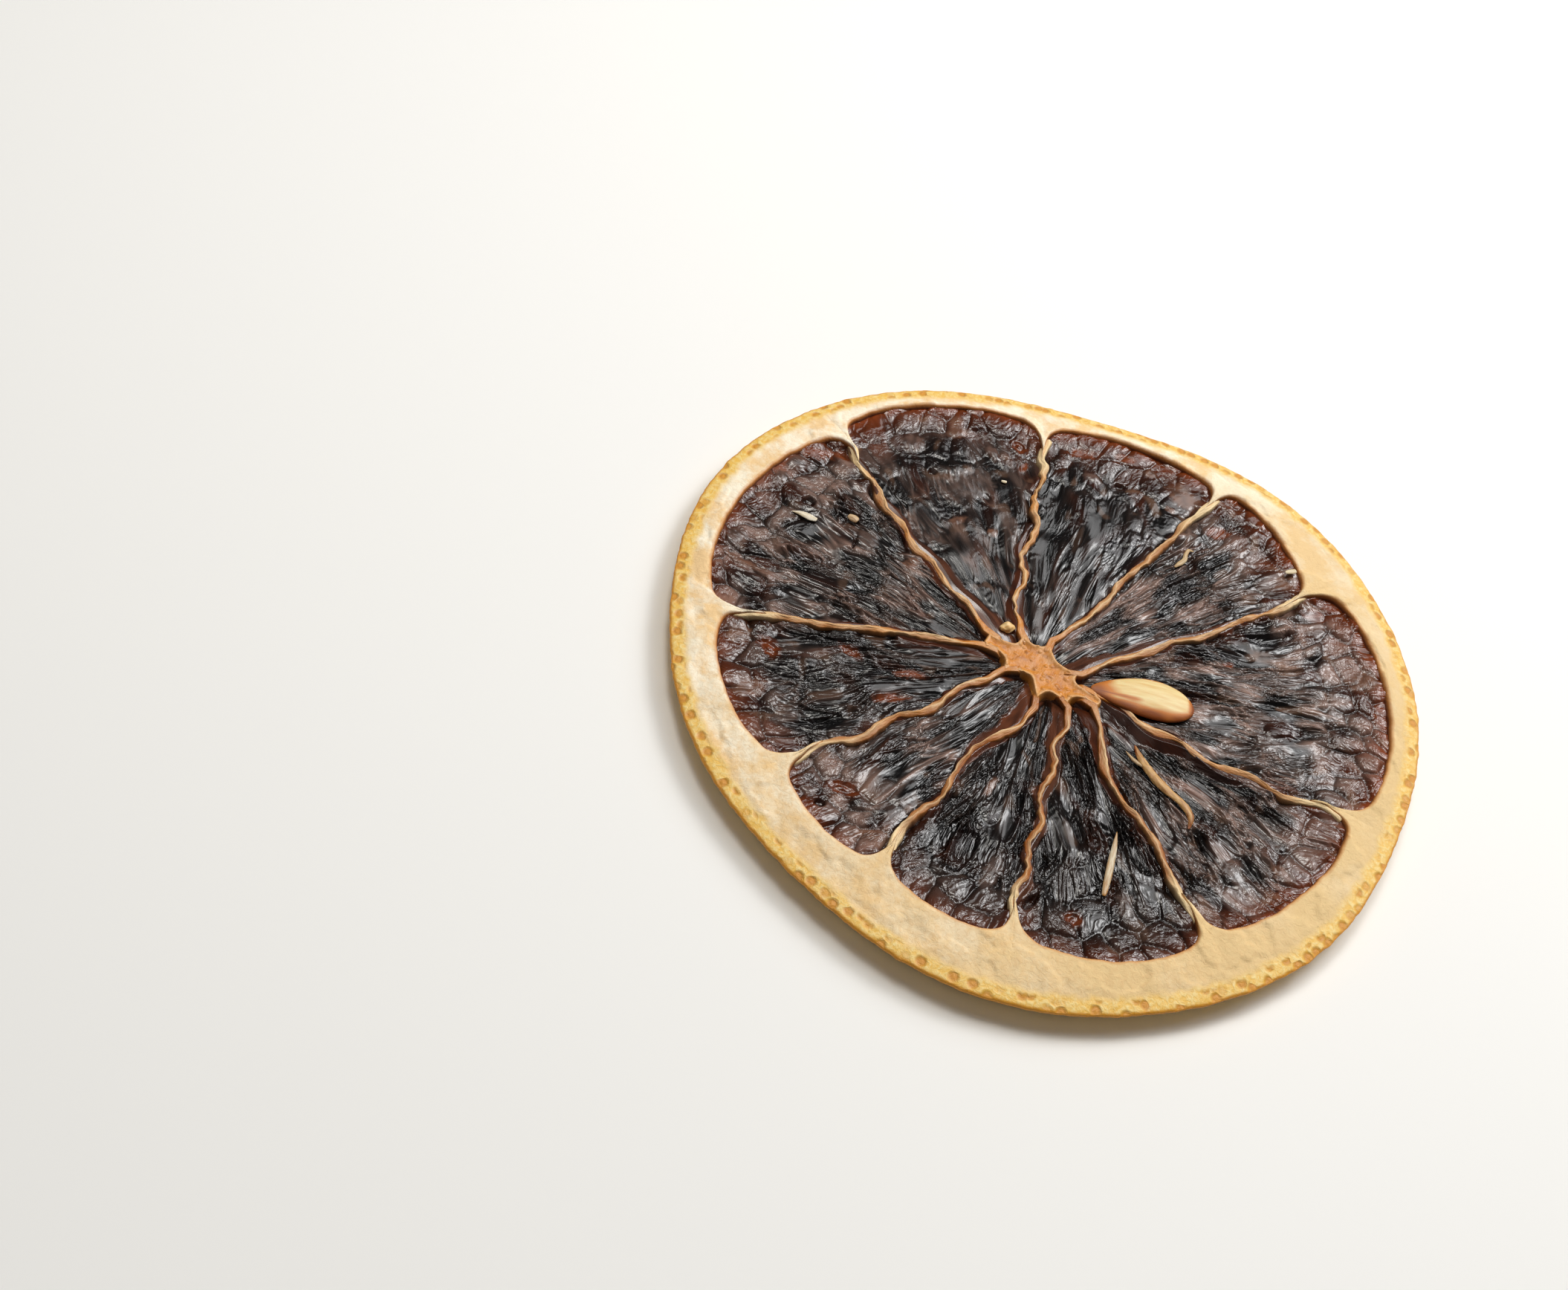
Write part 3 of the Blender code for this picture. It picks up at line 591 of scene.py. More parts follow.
# Rind: a ring whose cross-section runs from the lip round the flesh over the pith, the skin and the
# undercut side to the flat underside, and up the inner wall. The pith falls from the lip by a power of
# the way; skin, side and wall follow profiles of corners; noise is added to the edges and the heights.
rindLooks = {
    "columnsPerSegment": 110, "crowding": 0.60,  # columns stand closer beside the membranes
    "pithStations": 36, "skinStations": 30, "underStations": 6, "wallStations": 14,
    "trim": 0.17, "lipHeight": 2.31, "browHeight": 2.12, "slopePower": 1.4, "highest": 2.42,
    "lipWidth": 0.24, "lipRounding": 0.05, "lipRoundingWidth": 0.12, "edgeFade": 0.5,
    "cuspLength": 1.9, "cuspWidth": 0.34, "cuspDrop": 0.16,
    "skinWidth": 1.25, "skinRadius": 28.2, "skinFade": (-0.45, 0.30), "band": (0.70, 1.10),
    "edgeLine": (0.08, 0.26), "outlineBump": 0.10, "creaseHeight": 0.07, "swellHeight": 0.13,
    "swellShift": 5 / 1.3, "shadedSide": -25.0, "wallStainAndShade": (0.22, 2.28, 0.62), "ledge": (0.22, 0.22),
    # skin and side, as distance in from the outline and height; then the inner wall, out from its edge
    "sideProfile": ((1.15, 2.12), (0.80, 2.07), (0.45, 2.01), (0.18, 1.95), (0.05, 1.88), (0.0, 1.78),
                    (0.05, 1.64), (0.32, 1.24), (0.76, 0.68), (1.14, 0.22), (1.45, 0.0)),
    "wallProfile": ((0.50, 0.0), (0.40, 0.10), (0.22, 0.42), (0.10, 0.85), (0.03, 1.25), (0.0, 1.55),
                    (0.03, 1.90), (0.10, 2.14), (0.20, 2.26), (0.28, 2.28)),
    "noises": {  # strength, wavelengths, seed; the first five close round the rim, in shares of its radius
        "lip": (0.07, 1 / 18, 1 / 18, 3), "lipFine": (0.035, 1 / 40, 1 / 40, 4),
        "outline": (0.5, 1 / 22, 1 / 22, 5), "gland": (0.09, 1 / 26, 1 / 26, 16),
        "swell": (0.06, 1 / 1.3, 1 / 1.3, 6),
        "creases": (1.0, 1.5, 5.5, 7), "creasesFine": (0.5, 0.7, 2.6, 8), "fibre": (0.0126, 0.4, 0.4, 9),
        "swollen": (1.0, 3.4, 3.4, 10), "swollenFine": (0.2, 0.9, 0.9, 11), "skinEdge": (0.22, 0.9, 0.8, 12),
        "ledge": (0.06, 0.5, 0.5, 13), "toneAndSideShade": (0.25, 5.0, 5.0, 15),
    },
}


# Distances and heights at even steps along a profile of corners, without its first corner.
def alongProfile(corners, count):
    corners = np.array(corners)
    run = np.insert(np.cumsum(np.hypot(*np.diff(corners, axis=0).T)), 0, 0.0)
    where = np.linspace(0, run[-1], count + 1)[1:]
    return np.interp(where, run, corners[:, 0])[:, None], np.interp(where, run, corners[:, 1])[:, None]


def makeRind(material):
    looks = rindLooks
    noise = noisesOf(looks["noises"])
    angles, edges, ends, owners, shares = [], [], [], [], []
    for index in range(len(segmentRows)):
        first, last = sidesOf(index)
        steps = int(looks["columnsPerSegment"] * (last[4] - first[4]) / 36.0)
        even = np.arange(steps) / steps
        across = (1 - looks["crowding"]) * even + looks["crowding"] * (1 - np.cos(math.pi * even)) / 2
        arc = math.radians(last[4] - first[4]) * first[3]
        cusp = np.exp(-across * arc / looks["cuspWidth"]) + np.exp(-(1 - across) * arc / looks["cuspWidth"])
        angles.append(angleBetween(index, across, np.full(steps, 30.0)))
        ends.append(endRadius(index, across))
        edges.append(ends[-1] - looks["cuspLength"] * cusp)
        owners.append(np.full(steps, index))
        shares.append(across)
    angle, inner, ends, owner, across = map(np.concatenate, (angles, edges, ends, owners, shares))
    cosine, sine = np.cos(angle), np.sin(angle)
    inner = inner + noise("lip", cosine, sine) + noise("lipFine", cosine, sine)
    outer = outlineRadius(angle) - looks["trim"] + np.abs(noise("gland", cosine, sine))
    outer = outer - looks["outlineBump"] * (0.5 + noise("outline", cosine, sine))
    swell = noise("swell", cosine + looks["swellShift"], sine)

    # Pith: from the lip to the skin, falling by a power of the way.
    share = np.linspace(0, 1, looks["pithStations"])[:, None]
    lip = inner + looks["lipWidth"]
    skinStart = outer - looks["skinWidth"]
    pithRadius = lip + (skinStart - lip) * share
    drop = looks["browHeight"] - looks["lipHeight"]
    pithHeight = looks["lipHeight"] + drop * share ** looks["slopePower"] + swell * share
    rounding = np.exp(-share * (skinStart - lip) / looks["lipRoundingWidth"])
    pithHeight = pithHeight - looks["lipRounding"] * rounding

    # Skin and side, underside, and the inner wall up to the lip again.
    inset, skinHeight = alongProfile(looks["sideProfile"], looks["skinStations"])
    skinRadius = outer - inset
    skinHeight = skinHeight + swell * smoothStep(1.0, 1.8, skinHeight)
    share = np.linspace(0, 1, looks["underStations"] + 1)[1:, None]
    underStart, underEnd = outer - looks["sideProfile"][-1][0], inner + looks["wallProfile"][0][0]
    underRadius = underStart + (underEnd - underStart) * share
    wallInset, wallHeight = (part[:-1] for part in alongProfile(looks["wallProfile"], looks["wallStations"]))
    wallHeight = wallHeight + 0 * angle
    radius = np.concatenate([pithRadius, skinRadius, underRadius, inner + wallInset])
    height = np.concatenate([pithHeight, skinHeight, 0 * underRadius, wallHeight])
    theta = angle + 0 * radius
    for index in range(len(segmentRows)):  # the cusps bend with the membranes that they run into
        mine = owner == index
        theta[:, mine] = angleBetween(index, across[mine], radius[:, mine])

    # Relief: creases and swellings of the pith, fibres everywhere on top.
    inset = outer - radius
    onTop = smoothStep(1.2, 1.6, height)
    pithZone = np.zeros_like(radius)
    pithZone[: looks["pithStations"]] = 1.0
    ragged = inset + noise("skinEdge", theta * looks["skinRadius"], inset)
    skinFrom, skinTo = (looks["skinWidth"] + fade for fade in looks["skinFade"])
    skinZone = 1 - smoothStep(skinFrom, skinTo, ragged)
    x, y = radius * np.cos(theta), radius * np.sin(theta)
    creases = noise("creases", x + 0.6 * y, y - 0.6 * x) + noise("creasesFine", x + 0.3 * y, y - 0.3 * x)
    near = smoothStep(0.2, 0.9, -np.sin(theta))
    relief = looks["creaseHeight"] * creases * (0.5 + 0.5 * near) * pithZone
    relief = relief + noise("fibre", x, y) * (pithZone + skinZone)
    swollen = smoothStep(-0.14, 0.14, noise("swollen", x, y) + noise("swollenFine", x, y)) - 0.5
    awayFromSkin = smoothStep(looks["skinWidth"] - 0.1, looks["skinWidth"] + 0.7, inset)
    relief = relief + looks["swellHeight"] * swollen * awayFromSkin * pithZone
    height = height + relief * onTop * np.minimum(1.0, (radius - inner) / looks["edgeFade"])
    cuspShare = np.clip((ends - radius) / looks["cuspLength"], 0, 1)
    height = height - looks["cuspDrop"] * cuspShare * smoothStep(1.6, 2.1, height)
    height = np.minimum(height, looks["highest"])

    # the wall's stain deepens lower down: stain near the lip, painted shade further down
    least, stainShadeFrom, stainShadeRun = looks["wallStainAndShade"]
    wall = np.zeros_like(radius)
    wall[-len(wallHeight):] = np.clip(least + (stainShadeFrom - wallHeight) / stainShadeRun, 0, 1)
    stain, ledgeWidth = looks["ledge"]
    ledge = stain * (1 - smoothStep(0.0, ledgeWidth, radius - lip + noise("ledge", x, y))) * pithZone
    # tan towards one side, by a cosine of the direction: painted shade on that side; the noise is its own
    # tone
    toneAndSideShade = 0.45 + 0.55 * np.cos(theta - math.radians(looks["shadedSide"])) + noise("toneAndSideShade", x, y)
    fields = {
        "skin": skinZone * (1 - wall), "edge": (1 - smoothStep(*looks["edgeLine"], inset)) * (1 - pithZone),
        "band": smoothStep(0.0, 0.15, inset) * (1 - smoothStep(*looks["band"], inset)) * onTop,
        "wall": np.maximum(wall, ledge), "near": near, "toneAndSideShade": np.clip(toneAndSideShade, 0, 1),
    }
    return meshFrom("lemon_rind", [(placed(theta, radius, height), "join", fields)], material)


# Flesh: a sheet between two membranes, worked out on a grid of across and along. Its relief adds sharp walls
# of fallen sacs that fan out from behind the core, blisters towards the outer end, hollows and rungs.
fleshLooks = {
    "columnStep": 0.07, "rowStep": 0.13, "rowLength": 22.0, "underColumns": 40, "endAt": 25.0, "length": 21.0,
    "span": (-0.015, 1.018),  # a little under the core and under the rind
    "stations": (0.12, 0.5, 0.88),  # of the rusty and dusty values of a segment
    "heightAtTip": 1.15, "heightAtEnd": 1.62, "risePower": 0.6, "endRise": 0.26, "endRun": 1.4,
    "tipDrop": 0.22, "tipRun": 0.7, "lowest": 0.80, "highest": 2.14,
    "belowCrest": 0.22, "belowCrestSlope": 0.25,
    "under": 0.64, "underHighest": 0.76, "underRidge": 0.05, "underRidgeSize": 0.8,
    "underEdge": 0.08, "underEdgeWidth": 0.4,
    "edgeGap": 0.32, "edgeFillet": 0.30, "edgeWidth": 0.45, "filletRise": 1.3, "filletLeast": 0.1,
    "edgeCalm": 0.5, "gapShade": 0.8, "clingByFlank": 1.5,
    "fan": 8.0, "fanMiddle": 24.0, "finest": 0.3,
    "flankFade": (0.75, 1.15), "flankEnd": (-0.12, 0.08), "flankTaper": 0.6,
    "flankCalm": 0.85, "flankRust": 0.7, "flankPlumpUnshaded": 0.7, "flankBare": 0.8, "flankPatchy": 0.7,
    # walls of sacs: width, length and slant of a sac, height of its walls
    "sacs": (
        (1.5, 11.0, 0.0, 0.36), (0.95, 7.0, 0.30, 0.25), (0.95, 7.0, -0.28, 0.25), (0.50, 3.2, 0.14, 0.17),
    ),
    "meanCrest": 0.30, "leastStranded": 0.25, "pocketDepth": 0.22, "leastPockets": 0.4,
    "rungHeight": 0.07, "rungSize": (1.4, 0.42),
    "blisterSize": (1.7, 2.2), "blisterHeight": 0.26, "seamWidth": 0.13, "blisterPatches": 0.5,
    "domeCurve": 1.5, "domeShares": (0.9, 0.6, 1.3, 0.7),  # plateau, dome, its fall where fallen, mean
    "wrinkleSize": (0.5, 0.9), "wrinkleSlant": 0.4, "wrinkleHeight": 0.05,
    "rustAtEnd": 0.85, "rustRun": 0.8, "rustNearEnd": 0.08, "rustBeside": 0.35, "rustFallen": 0.20,
    "rustPatches": 0.20, "rustInHollows": 0.35, "mostRust": 0.9, "dustAndSheen": 0.70, "dustAndSheenInHollows": 0.05,
    "film": 0.35, "markPatchy": 0.75, "ringRust": 0.6,
    "ringTurn": 9.0,  # radians of the rings' wave from a mark's middle to its edge
    "noises": {  # strength, wavelengths across and along the strands, seed
        "bend": (0.9, 7.0, 9.0, 0), "quiver": (0.10, 1.6, 3.5, 1), "stretch": (0.8, 2.5, 2.5, 2),
        "bundles": (0.15, 2.6, 8.0, 14), "strands": (1.0, 2.4, 5.0, 15), "pockets": (1.0, 1.3, 3.2, 16),
        "hold": (1.0, 3.4, 1.0, 17), "holdFine": (0.25, 1.1, 1.0, 18), "slanted": (1.0, 2.8, 3.6, 20),
        "reach": (0.10, 3.0, 3.0, 30), "blisters": (1.0, 3.2, 4.0, 31), "rungs": (1.0, 2.2, 3.0, 44),
        "lumps": (0.12, 3.4, 4.6, 34), "lumpsFine": (0.072, 1.5, 2.4, 35), "rust": (1.0, 1.7, 3.3, 36),
        "grey": (1.0, 1.6, 3.4, 37), "greyFine": (0.25, 0.6, 1.5, 47), "film": (1.0, 1.3, 1.9, 39),
        "flankEdge": (0.25, 1.3, 1.3, 40), "flankGrain": (0.5, 0.8, 2.0, 45), "under": (0.06, 1.6, 1.6, 20),
        "markEdge": (0.25, 0.9, 0.9, 38), "markEdgeFine": (0.20, 0.3, 0.3, 46),
        "markGrain": (0.5, 0.35, 0.6, 48),
    },
    "steps": {  # where each of these starts and where it is full
        "clings": (-0.25, 0.30), "slanted": (-0.1, 0.4), "strands": (-0.45, 0.35), "pockets": (0.25, 0.60),
        "fallen": (0.60, 0.80), "blisterEnd": (0.70, 0.88), "blisters": (0.15, 0.45),
        "blistersFrom": (0.3, 0.5),
        "nearEnd": (0.80, 1.0), "rust": (0.15, 0.65), "grey": (-0.35, 0.50), "film": (0.40, 0.75),
        "rungs": (0.05, 0.45), "markEdge": (0.55, 1.20), "ringEdge": (0.4, 0.9),
    },
}

# What a mark does: lift at its middle, share of the relief that it smooths out, height of rings round it,
# rust, film, grey of dust and painted sheen, and darkness, which is painted shade.
markKinds = {
    "pit": (-0.36, 0.4, 0.00, 0.1, 0.0, 0.0, 0.9),
    "dome": (0.13, 0.6, 0.00, 0.1, 0.0, 0.35, 0.0),
    "oval": (-0.06, 0.7, 0.07, 0.75, 0.0, 0.0, 0.0),
    "amber": (-0.04, 0.4, 0.00, 0.90, 0.08, 0.0, 0.0),
    "film": (0.05, 0.6, 0.00, 0.3, 0.40, 0.2, 0.0),
    "smooth": (0.03, 0.6, 0.00, 0.0, 0.0, 0.30, 0.0),
}

# Marks on each segment: kind, place from the middle of the outline, half length, half width, turn.
markRows = {
    "a": (
        ("pit", -21.76, 5.23, 0.62, 0.48, 20), ("pit", -19.89, 7.0, 0.45, 0.35, 0),
        ("smooth", -16.34, 4.13, 1.2, 0.7, 100), ("pit", -17.18, 3.3, 0.9, 0.16, 100),
        ("dome", -24.64, 6.18, 0.9, 0.7, 80), ("dome", -24.3, 8.3, 0.9, 0.8, 60),
        ("amber", -23.2, 10.4, 1.4, 0.8, 30), ("amber", -21.4, 11.4, 0.8, 0.6, 20),
        ("dome", -25.07, -1.42, 1.3, 0.8, 90), ("film", -23.8, -3.2, 1.8, 0.35, 178),
        ("film", -12.58, 3.82, 0.8, 0.55, 60),
    ),
    "j": (
        ("oval", -18.8, -9.68, 1.55, 0.85, -30), ("oval", -13.39, -6.86, 1.1, 0.6, -15),
        ("film", -21.17, -9.69, 1.1, 0.8, 60), ("film", -18.51, -13.93, 1.4, 0.8, 40),
        ("amber", -9.32, -9.24, 1.3, 0.45, 35), ("amber", -8.83, -6.41, 1.2, 0.5, 25),
        ("smooth", -15.33, -14.84, 1.4, 0.7, 50),
    ),
    "i": (
        ("oval", -9.36, -18.42, 1.7, 0.85, 10), ("dome", -11.21, -20.11, 0.6, 0.5, 0),
        ("pit", -10.22, -20.59, 0.5, 0.35, 20), ("film", -1.68, -8.54, 0.6, 0.5, 60),
        ("film", -6.3, -21.2, 1.2, 0.7, 15),
    ),
    "h": (
        ("smooth", 2.2, -19.6, 1.5, 0.7, 80), ("film", -0.2, -13.0, 0.9, 0.35, 80),
    ),
    "g": (
        ("oval", 8.4, -20.4, 0.9, 0.75, 0), ("pit", 5.4, -20.5, 0.8, 0.4, 60),
        ("smooth", 11.3, -17.4, 1.3, 0.6, -60),
    ),
    "f": (
        ("smooth", 17.6, -11.2, 1.6, 0.6, -35), ("film", 20.6, -9.4, 1.1, 0.5, -30),
    ),
    "e": (
        ("smooth", 17.2, 1.5, 1.7, 1.0, 0), ("pit", 25.4, 7.0, 0.6, 0.35, 60),
        ("smooth", 16.7, 8.2, 2.0, 1.0, 30), ("film", 22.31, 11.32, 1.3, 1.0, 60),
        ("amber", 17.08, 15.96, 1.0, 0.65, 20), ("pit", 15.93, 12.71, 0.9, 0.4, 70),
        ("amber", 24.0, 8.95, 1.0, 0.5, 80), ("amber", 21.64, 14.06, 1.1, 0.5, 130),
        ("amber", 12.38, 7.47, 0.5, 0.35, 40),
    ),
    "d": (
        ("film", 14.3, 18.3, 1.3, 0.9, 60), ("pit", 6.96, 15.82, 0.6, 0.9, 20),
        ("amber", 7.98, 20.28, 1.2, 0.7, 40), ("smooth", 10.6, 14.9, 1.7, 0.8, 50),
    ),
    "c": (
        ("amber", -4.5, 22.7, 1.5, 0.55, 20), ("amber", -0.95, 24.07, 1.0, 0.5, 10),
        ("film", 1.2, 23.7, 0.6, 0.5, 0), ("film", 4.4, 22.6, 1.7, 1.0, -25),
        ("pit", -0.69, 21.05, 0.6, 0.28, 20), ("film", 3.82, 20.65, 0.5, 0.3, -20),
        ("dome", -2.9, 20.6, 0.8, 0.5, 0),
    ),
    "b": (
        ("oval", -9.4, 20.5, 1.2, 0.8, -40), ("dome", -10.99, 18.59, 1.0, 0.5, -40),
        ("pit", -14.62, 13.85, 0.5, 0.3, 0), ("film", -14.28, 19.15, 1.3, 0.5, 40),
        ("dome", -17.1, 16.0, 1.1, 0.9, 30), ("film", -11.05, 10.02, 0.8, 0.4, 50),
        ("film", -8.18, 10.36, 0.5, 0.4, 60), ("smooth", -11.4, 14.4, 2.4, 1.4, 60),
        ("amber", -8.3, 18.6, 0.7, 0.3, 80),
    ),
}

# Skin of a membrane that lies on the flesh beside it: side of the segment (0 first, 1 last), width at the
# core, share of the way that it reaches, brown, paleness, climb at the membrane, sinking at its far edge.
flankRows = {
    "a": ((0, 0.6, 0.6, 0.7, 0.08, 0.2, 0.0), (1, 0.6, 0.9, 0.7, 0.05, 0.2, 0.0)),
    "j": ((0, 0.6, 0.6, 0.7, 0.05, 0.2, 0.1), (1, 0.5, 0.5, 0.7, 0.05, 0.2, 0.1)),
    "i": ((0, 0.5, 0.6, 0.6, 0.05, 0.2, 0.1), (1, 1.0, 0.45, 0.8, 0.15, 0.3, 0.1)),
    "h": ((0, 0.9, 0.55, 0.7, 0.10, 0.4, 0.2), (1, 0.6, 1.0, 0.6, 0.15, 0.3, 0.1)),
    "g": ((0, 0.7, 1.0, 0.5, 0.20, 0.3, 0.1), (1, 0.6, 0.7, 0.7, 0.05, 0.3, 0.2)),
    "f": ((0, 0.6, 0.7, 0.7, 0.08, 0.3, 0.2), (1, 2.1, 0.60, 0.25, 0.0, 1.0, 0.3)),
    "e": ((0, 0.9, 0.38, 0.95, 0.20, 0.4, 0.1), (1, 0.5, 0.8, 0.5, 0.05, 0.2, 0.1)),
    "d": ((0, 1.0, 0.85, 0.5, 0.15, 0.4, 0.0), (1, 0.5, 0.4, 0.6, 0.05, 0.2, 0.0)),
    "c": ((0, 0.5, 0.5, 0.6, 0.05, 0.2, 0.0), (1, 0.6, 0.5, 0.6, 0.10, 0.2, 0.0)),
    "b": ((0, 1.0, 0.45, 0.6, 0.05, 0.4, 0.0), (1, 1.5, 0.95, 0.55, 0.15, 0.5, 0.0)),
}


def makeFlesh(index, material):
    looks, steps = fleshLooks, fleshLooks["steps"]
    name, _, (blistered, stranded, laddered), rusty, dustAndSheenLevels = segmentRows[index]
    first, last = sidesOf(index)
    seed = 100 + 17 * index
    noise = noisesOf(looks["noises"], seed)
    columns = int(math.radians(last[4] - first[4]) * looks["endAt"] / looks["columnStep"])
    across = np.linspace(0, 1, columns)[None, :]
    along = np.linspace(*looks["span"], int(looks["rowLength"] / looks["rowStep"]))[:, None]
    rusty, dustAndSheenLevels = (np.interp(along, looks["stations"], values) for values in (rusty, dustAndSheenLevels))
    startAngle, lastAngle = membraneAngle(first, along), membraneAngle(last, along)
    theta = startAngle + (lastAngle - startAngle) * across
    inner = tipRadius(index, across)
    radius = inner + (endRadius(index, across) - inner) * along

    # Flow: w runs across the strands and s along them, both in millimetres, about a point behind the core.
    axis = math.radians((first[4] + last[4]) / 2)
    forward = radius * np.cos(theta - axis) + looks["fan"]
    sideways = radius * np.sin(theta - axis)
    s = np.hypot(forward, sideways) - looks["fan"]
    w = np.arctan2(sideways, forward) * looks["fanMiddle"]
    w = w + noise("bend", w, s) + noise("quiver", w, s)
    s = s + noise("stretch", w, s)
    # strands narrow towards the core, so their relief gets lower there
    fineness = np.clip((s + looks["fan"]) / looks["fanMiddle"], looks["finest"], 1)

    # Skin beside the membranes: full up to a ragged edge, which tapers along the way and ends at its reach.
    width = (lastAngle - startAngle) * radius
    edge = np.minimum(across, 1 - across) * width
    flanks = []
    for side, flankWidth, reach, brown, pale, climb, sink in flankRows[name]:
        toSide = (across if side == 0 else 1 - across) * width
        taper = flankWidth * (1 - looks["flankTaper"] * np.clip(along / reach, 0, 1))
        fadeFrom, fadeTo = looks["flankFade"]
        over = 1 - smoothStep(fadeFrom * taper, fadeTo * taper, toSide + noise("flankEdge", s, w, side))
        fadeFrom, fadeTo = looks["flankEnd"]
        over = over * (1 - smoothStep(reach + fadeFrom, reach + fadeTo, along))
        slope = (np.clip(1 - toSide / taper, 0, 1) * climb - sink) * over
        flanks.append((over, slope, brown, pale))

    # Beside a membrane the flesh either climbs it or leaves a gap, in turns along the way; the gap is painted
    # dark, as shade.
    lane = np.where(across < 0.5, 0.0, 9.0) + 0 * radius
    hold = noise("hold", s, lane) + noise("holdFine", s, lane)
    hold = hold + looks["clingByFlank"] * np.maximum(flanks[0][0], flanks[1][0])
    clings = smoothStep(*steps["clings"], hold)
    beside = np.exp(-((edge / looks["edgeWidth"]) ** 2))
    crevice = beside * (1 - clings)
    filletHere = np.clip(looks["filletRise"] * along, looks["filletLeast"], 1)
    edgeTerm = looks["edgeFillet"] * beside * clings * filletHere - looks["edgeGap"] * crevice
    outerGap = (1 - along) * looks["length"]
    tipCrevice = np.exp(-((np.maximum(along, 0) * looks["length"] / looks["tipRun"]) ** 2))

    # Sacs: sharp crests along the strands, coarse ones and finer ones, with pockets sunk between them.
    sacRelief, wallsUp = 0 * radius, 0 * radius
    for layer, (wide, long, slant, high) in enumerate(looks["sacs"]):
        crest = crests((w + slant * s) / wide, s / long, seed + 3 + 3 * layer)
        here = 1.0 if slant == 0 else smoothStep(*steps["slanted"], noise("slanted", w, s, layer))
        sacRelief = sacRelief + high * (crest - looks["meanCrest"]) * here
        wallsUp = np.maximum(wallsUp, crest * here)
    hollow = np.clip(1 - wallsUp, 0, 1)
    strand = stranded * smoothStep(*steps["strands"], noise("strands", w, s))
    least = looks["leastStranded"]
    sacRelief = sacRelief * (least * stranded + (1 - least) * strand) + noise("bundles", w, s)
    least = looks["leastPockets"]
    pockets = smoothStep(*steps["pockets"], noise("pockets", w, s)) * (least + (1 - least) * stranded)
    sacRelief = (sacRelief - looks["pocketDepth"] * pockets * hollow) * fineness

    # Blisters: domes with seams between them, at the outer end and in patches; some have fallen in.
    wide, long = looks["blisterSize"]
    near, second, tag = cells(w / wide, s / long, seed + 26)
    blister = 1 - np.exp(-(second - near) / looks["seamWidth"])
    dome = np.maximum(0.0, 1 - near * near * looks["domeCurve"])
    fallen = smoothStep(*steps["fallen"], tag)
    wide, long = looks["wrinkleSize"]
    wrinkle = ridges((w + looks["wrinkleSlant"] * s) / wide, s / long, seed + 29)
    plateau, domed, sunk, mean = looks["domeShares"]
    blisterRelief = plateau * blister + (domed - sunk * fallen) * dome * blister - mean
    blisterRelief = looks["blisterHeight"] * blisterRelief
    blisterRelief = blisterRelief + looks["wrinkleHeight"] * wrinkle
    reach = along + noise("reach", w, s)
    patches = looks["blisterPatches"] * smoothStep(*steps["blisters"], noise("blisters", w, s))
    patches = patches * smoothStep(*steps["blistersFrom"], along)
    blisterMask = np.clip(blistered * np.maximum(smoothStep(*steps["blisterEnd"], reach), patches), 0, 1)
    relief = sacRelief * (1 - blisterMask) + blisterRelief * blisterMask
    # plump sacs and blisters count as lit and the hollows between them as shaded: the hollows are painted
    # nearly black, as shade
    plumpUnshaded = (1 - hollow) * (1 - blisterMask) + blister * blisterMask

    # Colours: rust at the outer end, beside the membranes, in fallen blisters and in patches; dust with a
    # painted sheen, and film. Rust and dust are less in the hollows, which paints them darker, as shade.
    rust = looks["rustAtEnd"] * np.exp(-outerGap / looks["rustRun"])
    rust = rust + looks["rustNearEnd"] * smoothStep(*steps["nearEnd"], reach)
    rust = rust + looks["rustBeside"] * beside * clings + looks["rustFallen"] * fallen * dome * blisterMask
    rust = rust + looks["rustPatches"] * smoothStep(*steps["rust"], noise("rust", w, s))
    inHollows = looks["rustInHollows"]
    rust = np.clip(rust * rusty * (inHollows + (1 - inHollows) * plumpUnshaded), 0, looks["mostRust"])
    grey = smoothStep(*steps["grey"], noise("grey", w, s) + noise("greyFine", w, s))
    inHollows = looks["dustAndSheenInHollows"]
    dustAndSheen = np.clip(looks["dustAndSheen"] * dustAndSheenLevels * grey, 0, 1) * (inHollows + (1 - inHollows) * plumpUnshaded)
    film = looks["film"] * rusty * smoothStep(*steps["film"], noise("film", w, s))
    wide, long = looks["rungSize"]
    rungs = ridges(w / wide, s / long, seed + 43) ** 2 * smoothStep(*steps["rungs"], noise("rungs", w, s))
    relief = relief + looks["rungHeight"] * laddered * rungs
    # the gap beside a membrane is painted darker, as shade
    plumpUnshaded = plumpUnshaded * (1 - looks["gapShade"] * crevice)
    relief = noise("lumps", w, s) + noise("lumpsFine", w, s) + relief
    relief = relief * (1 - looks["edgeCalm"] * beside)

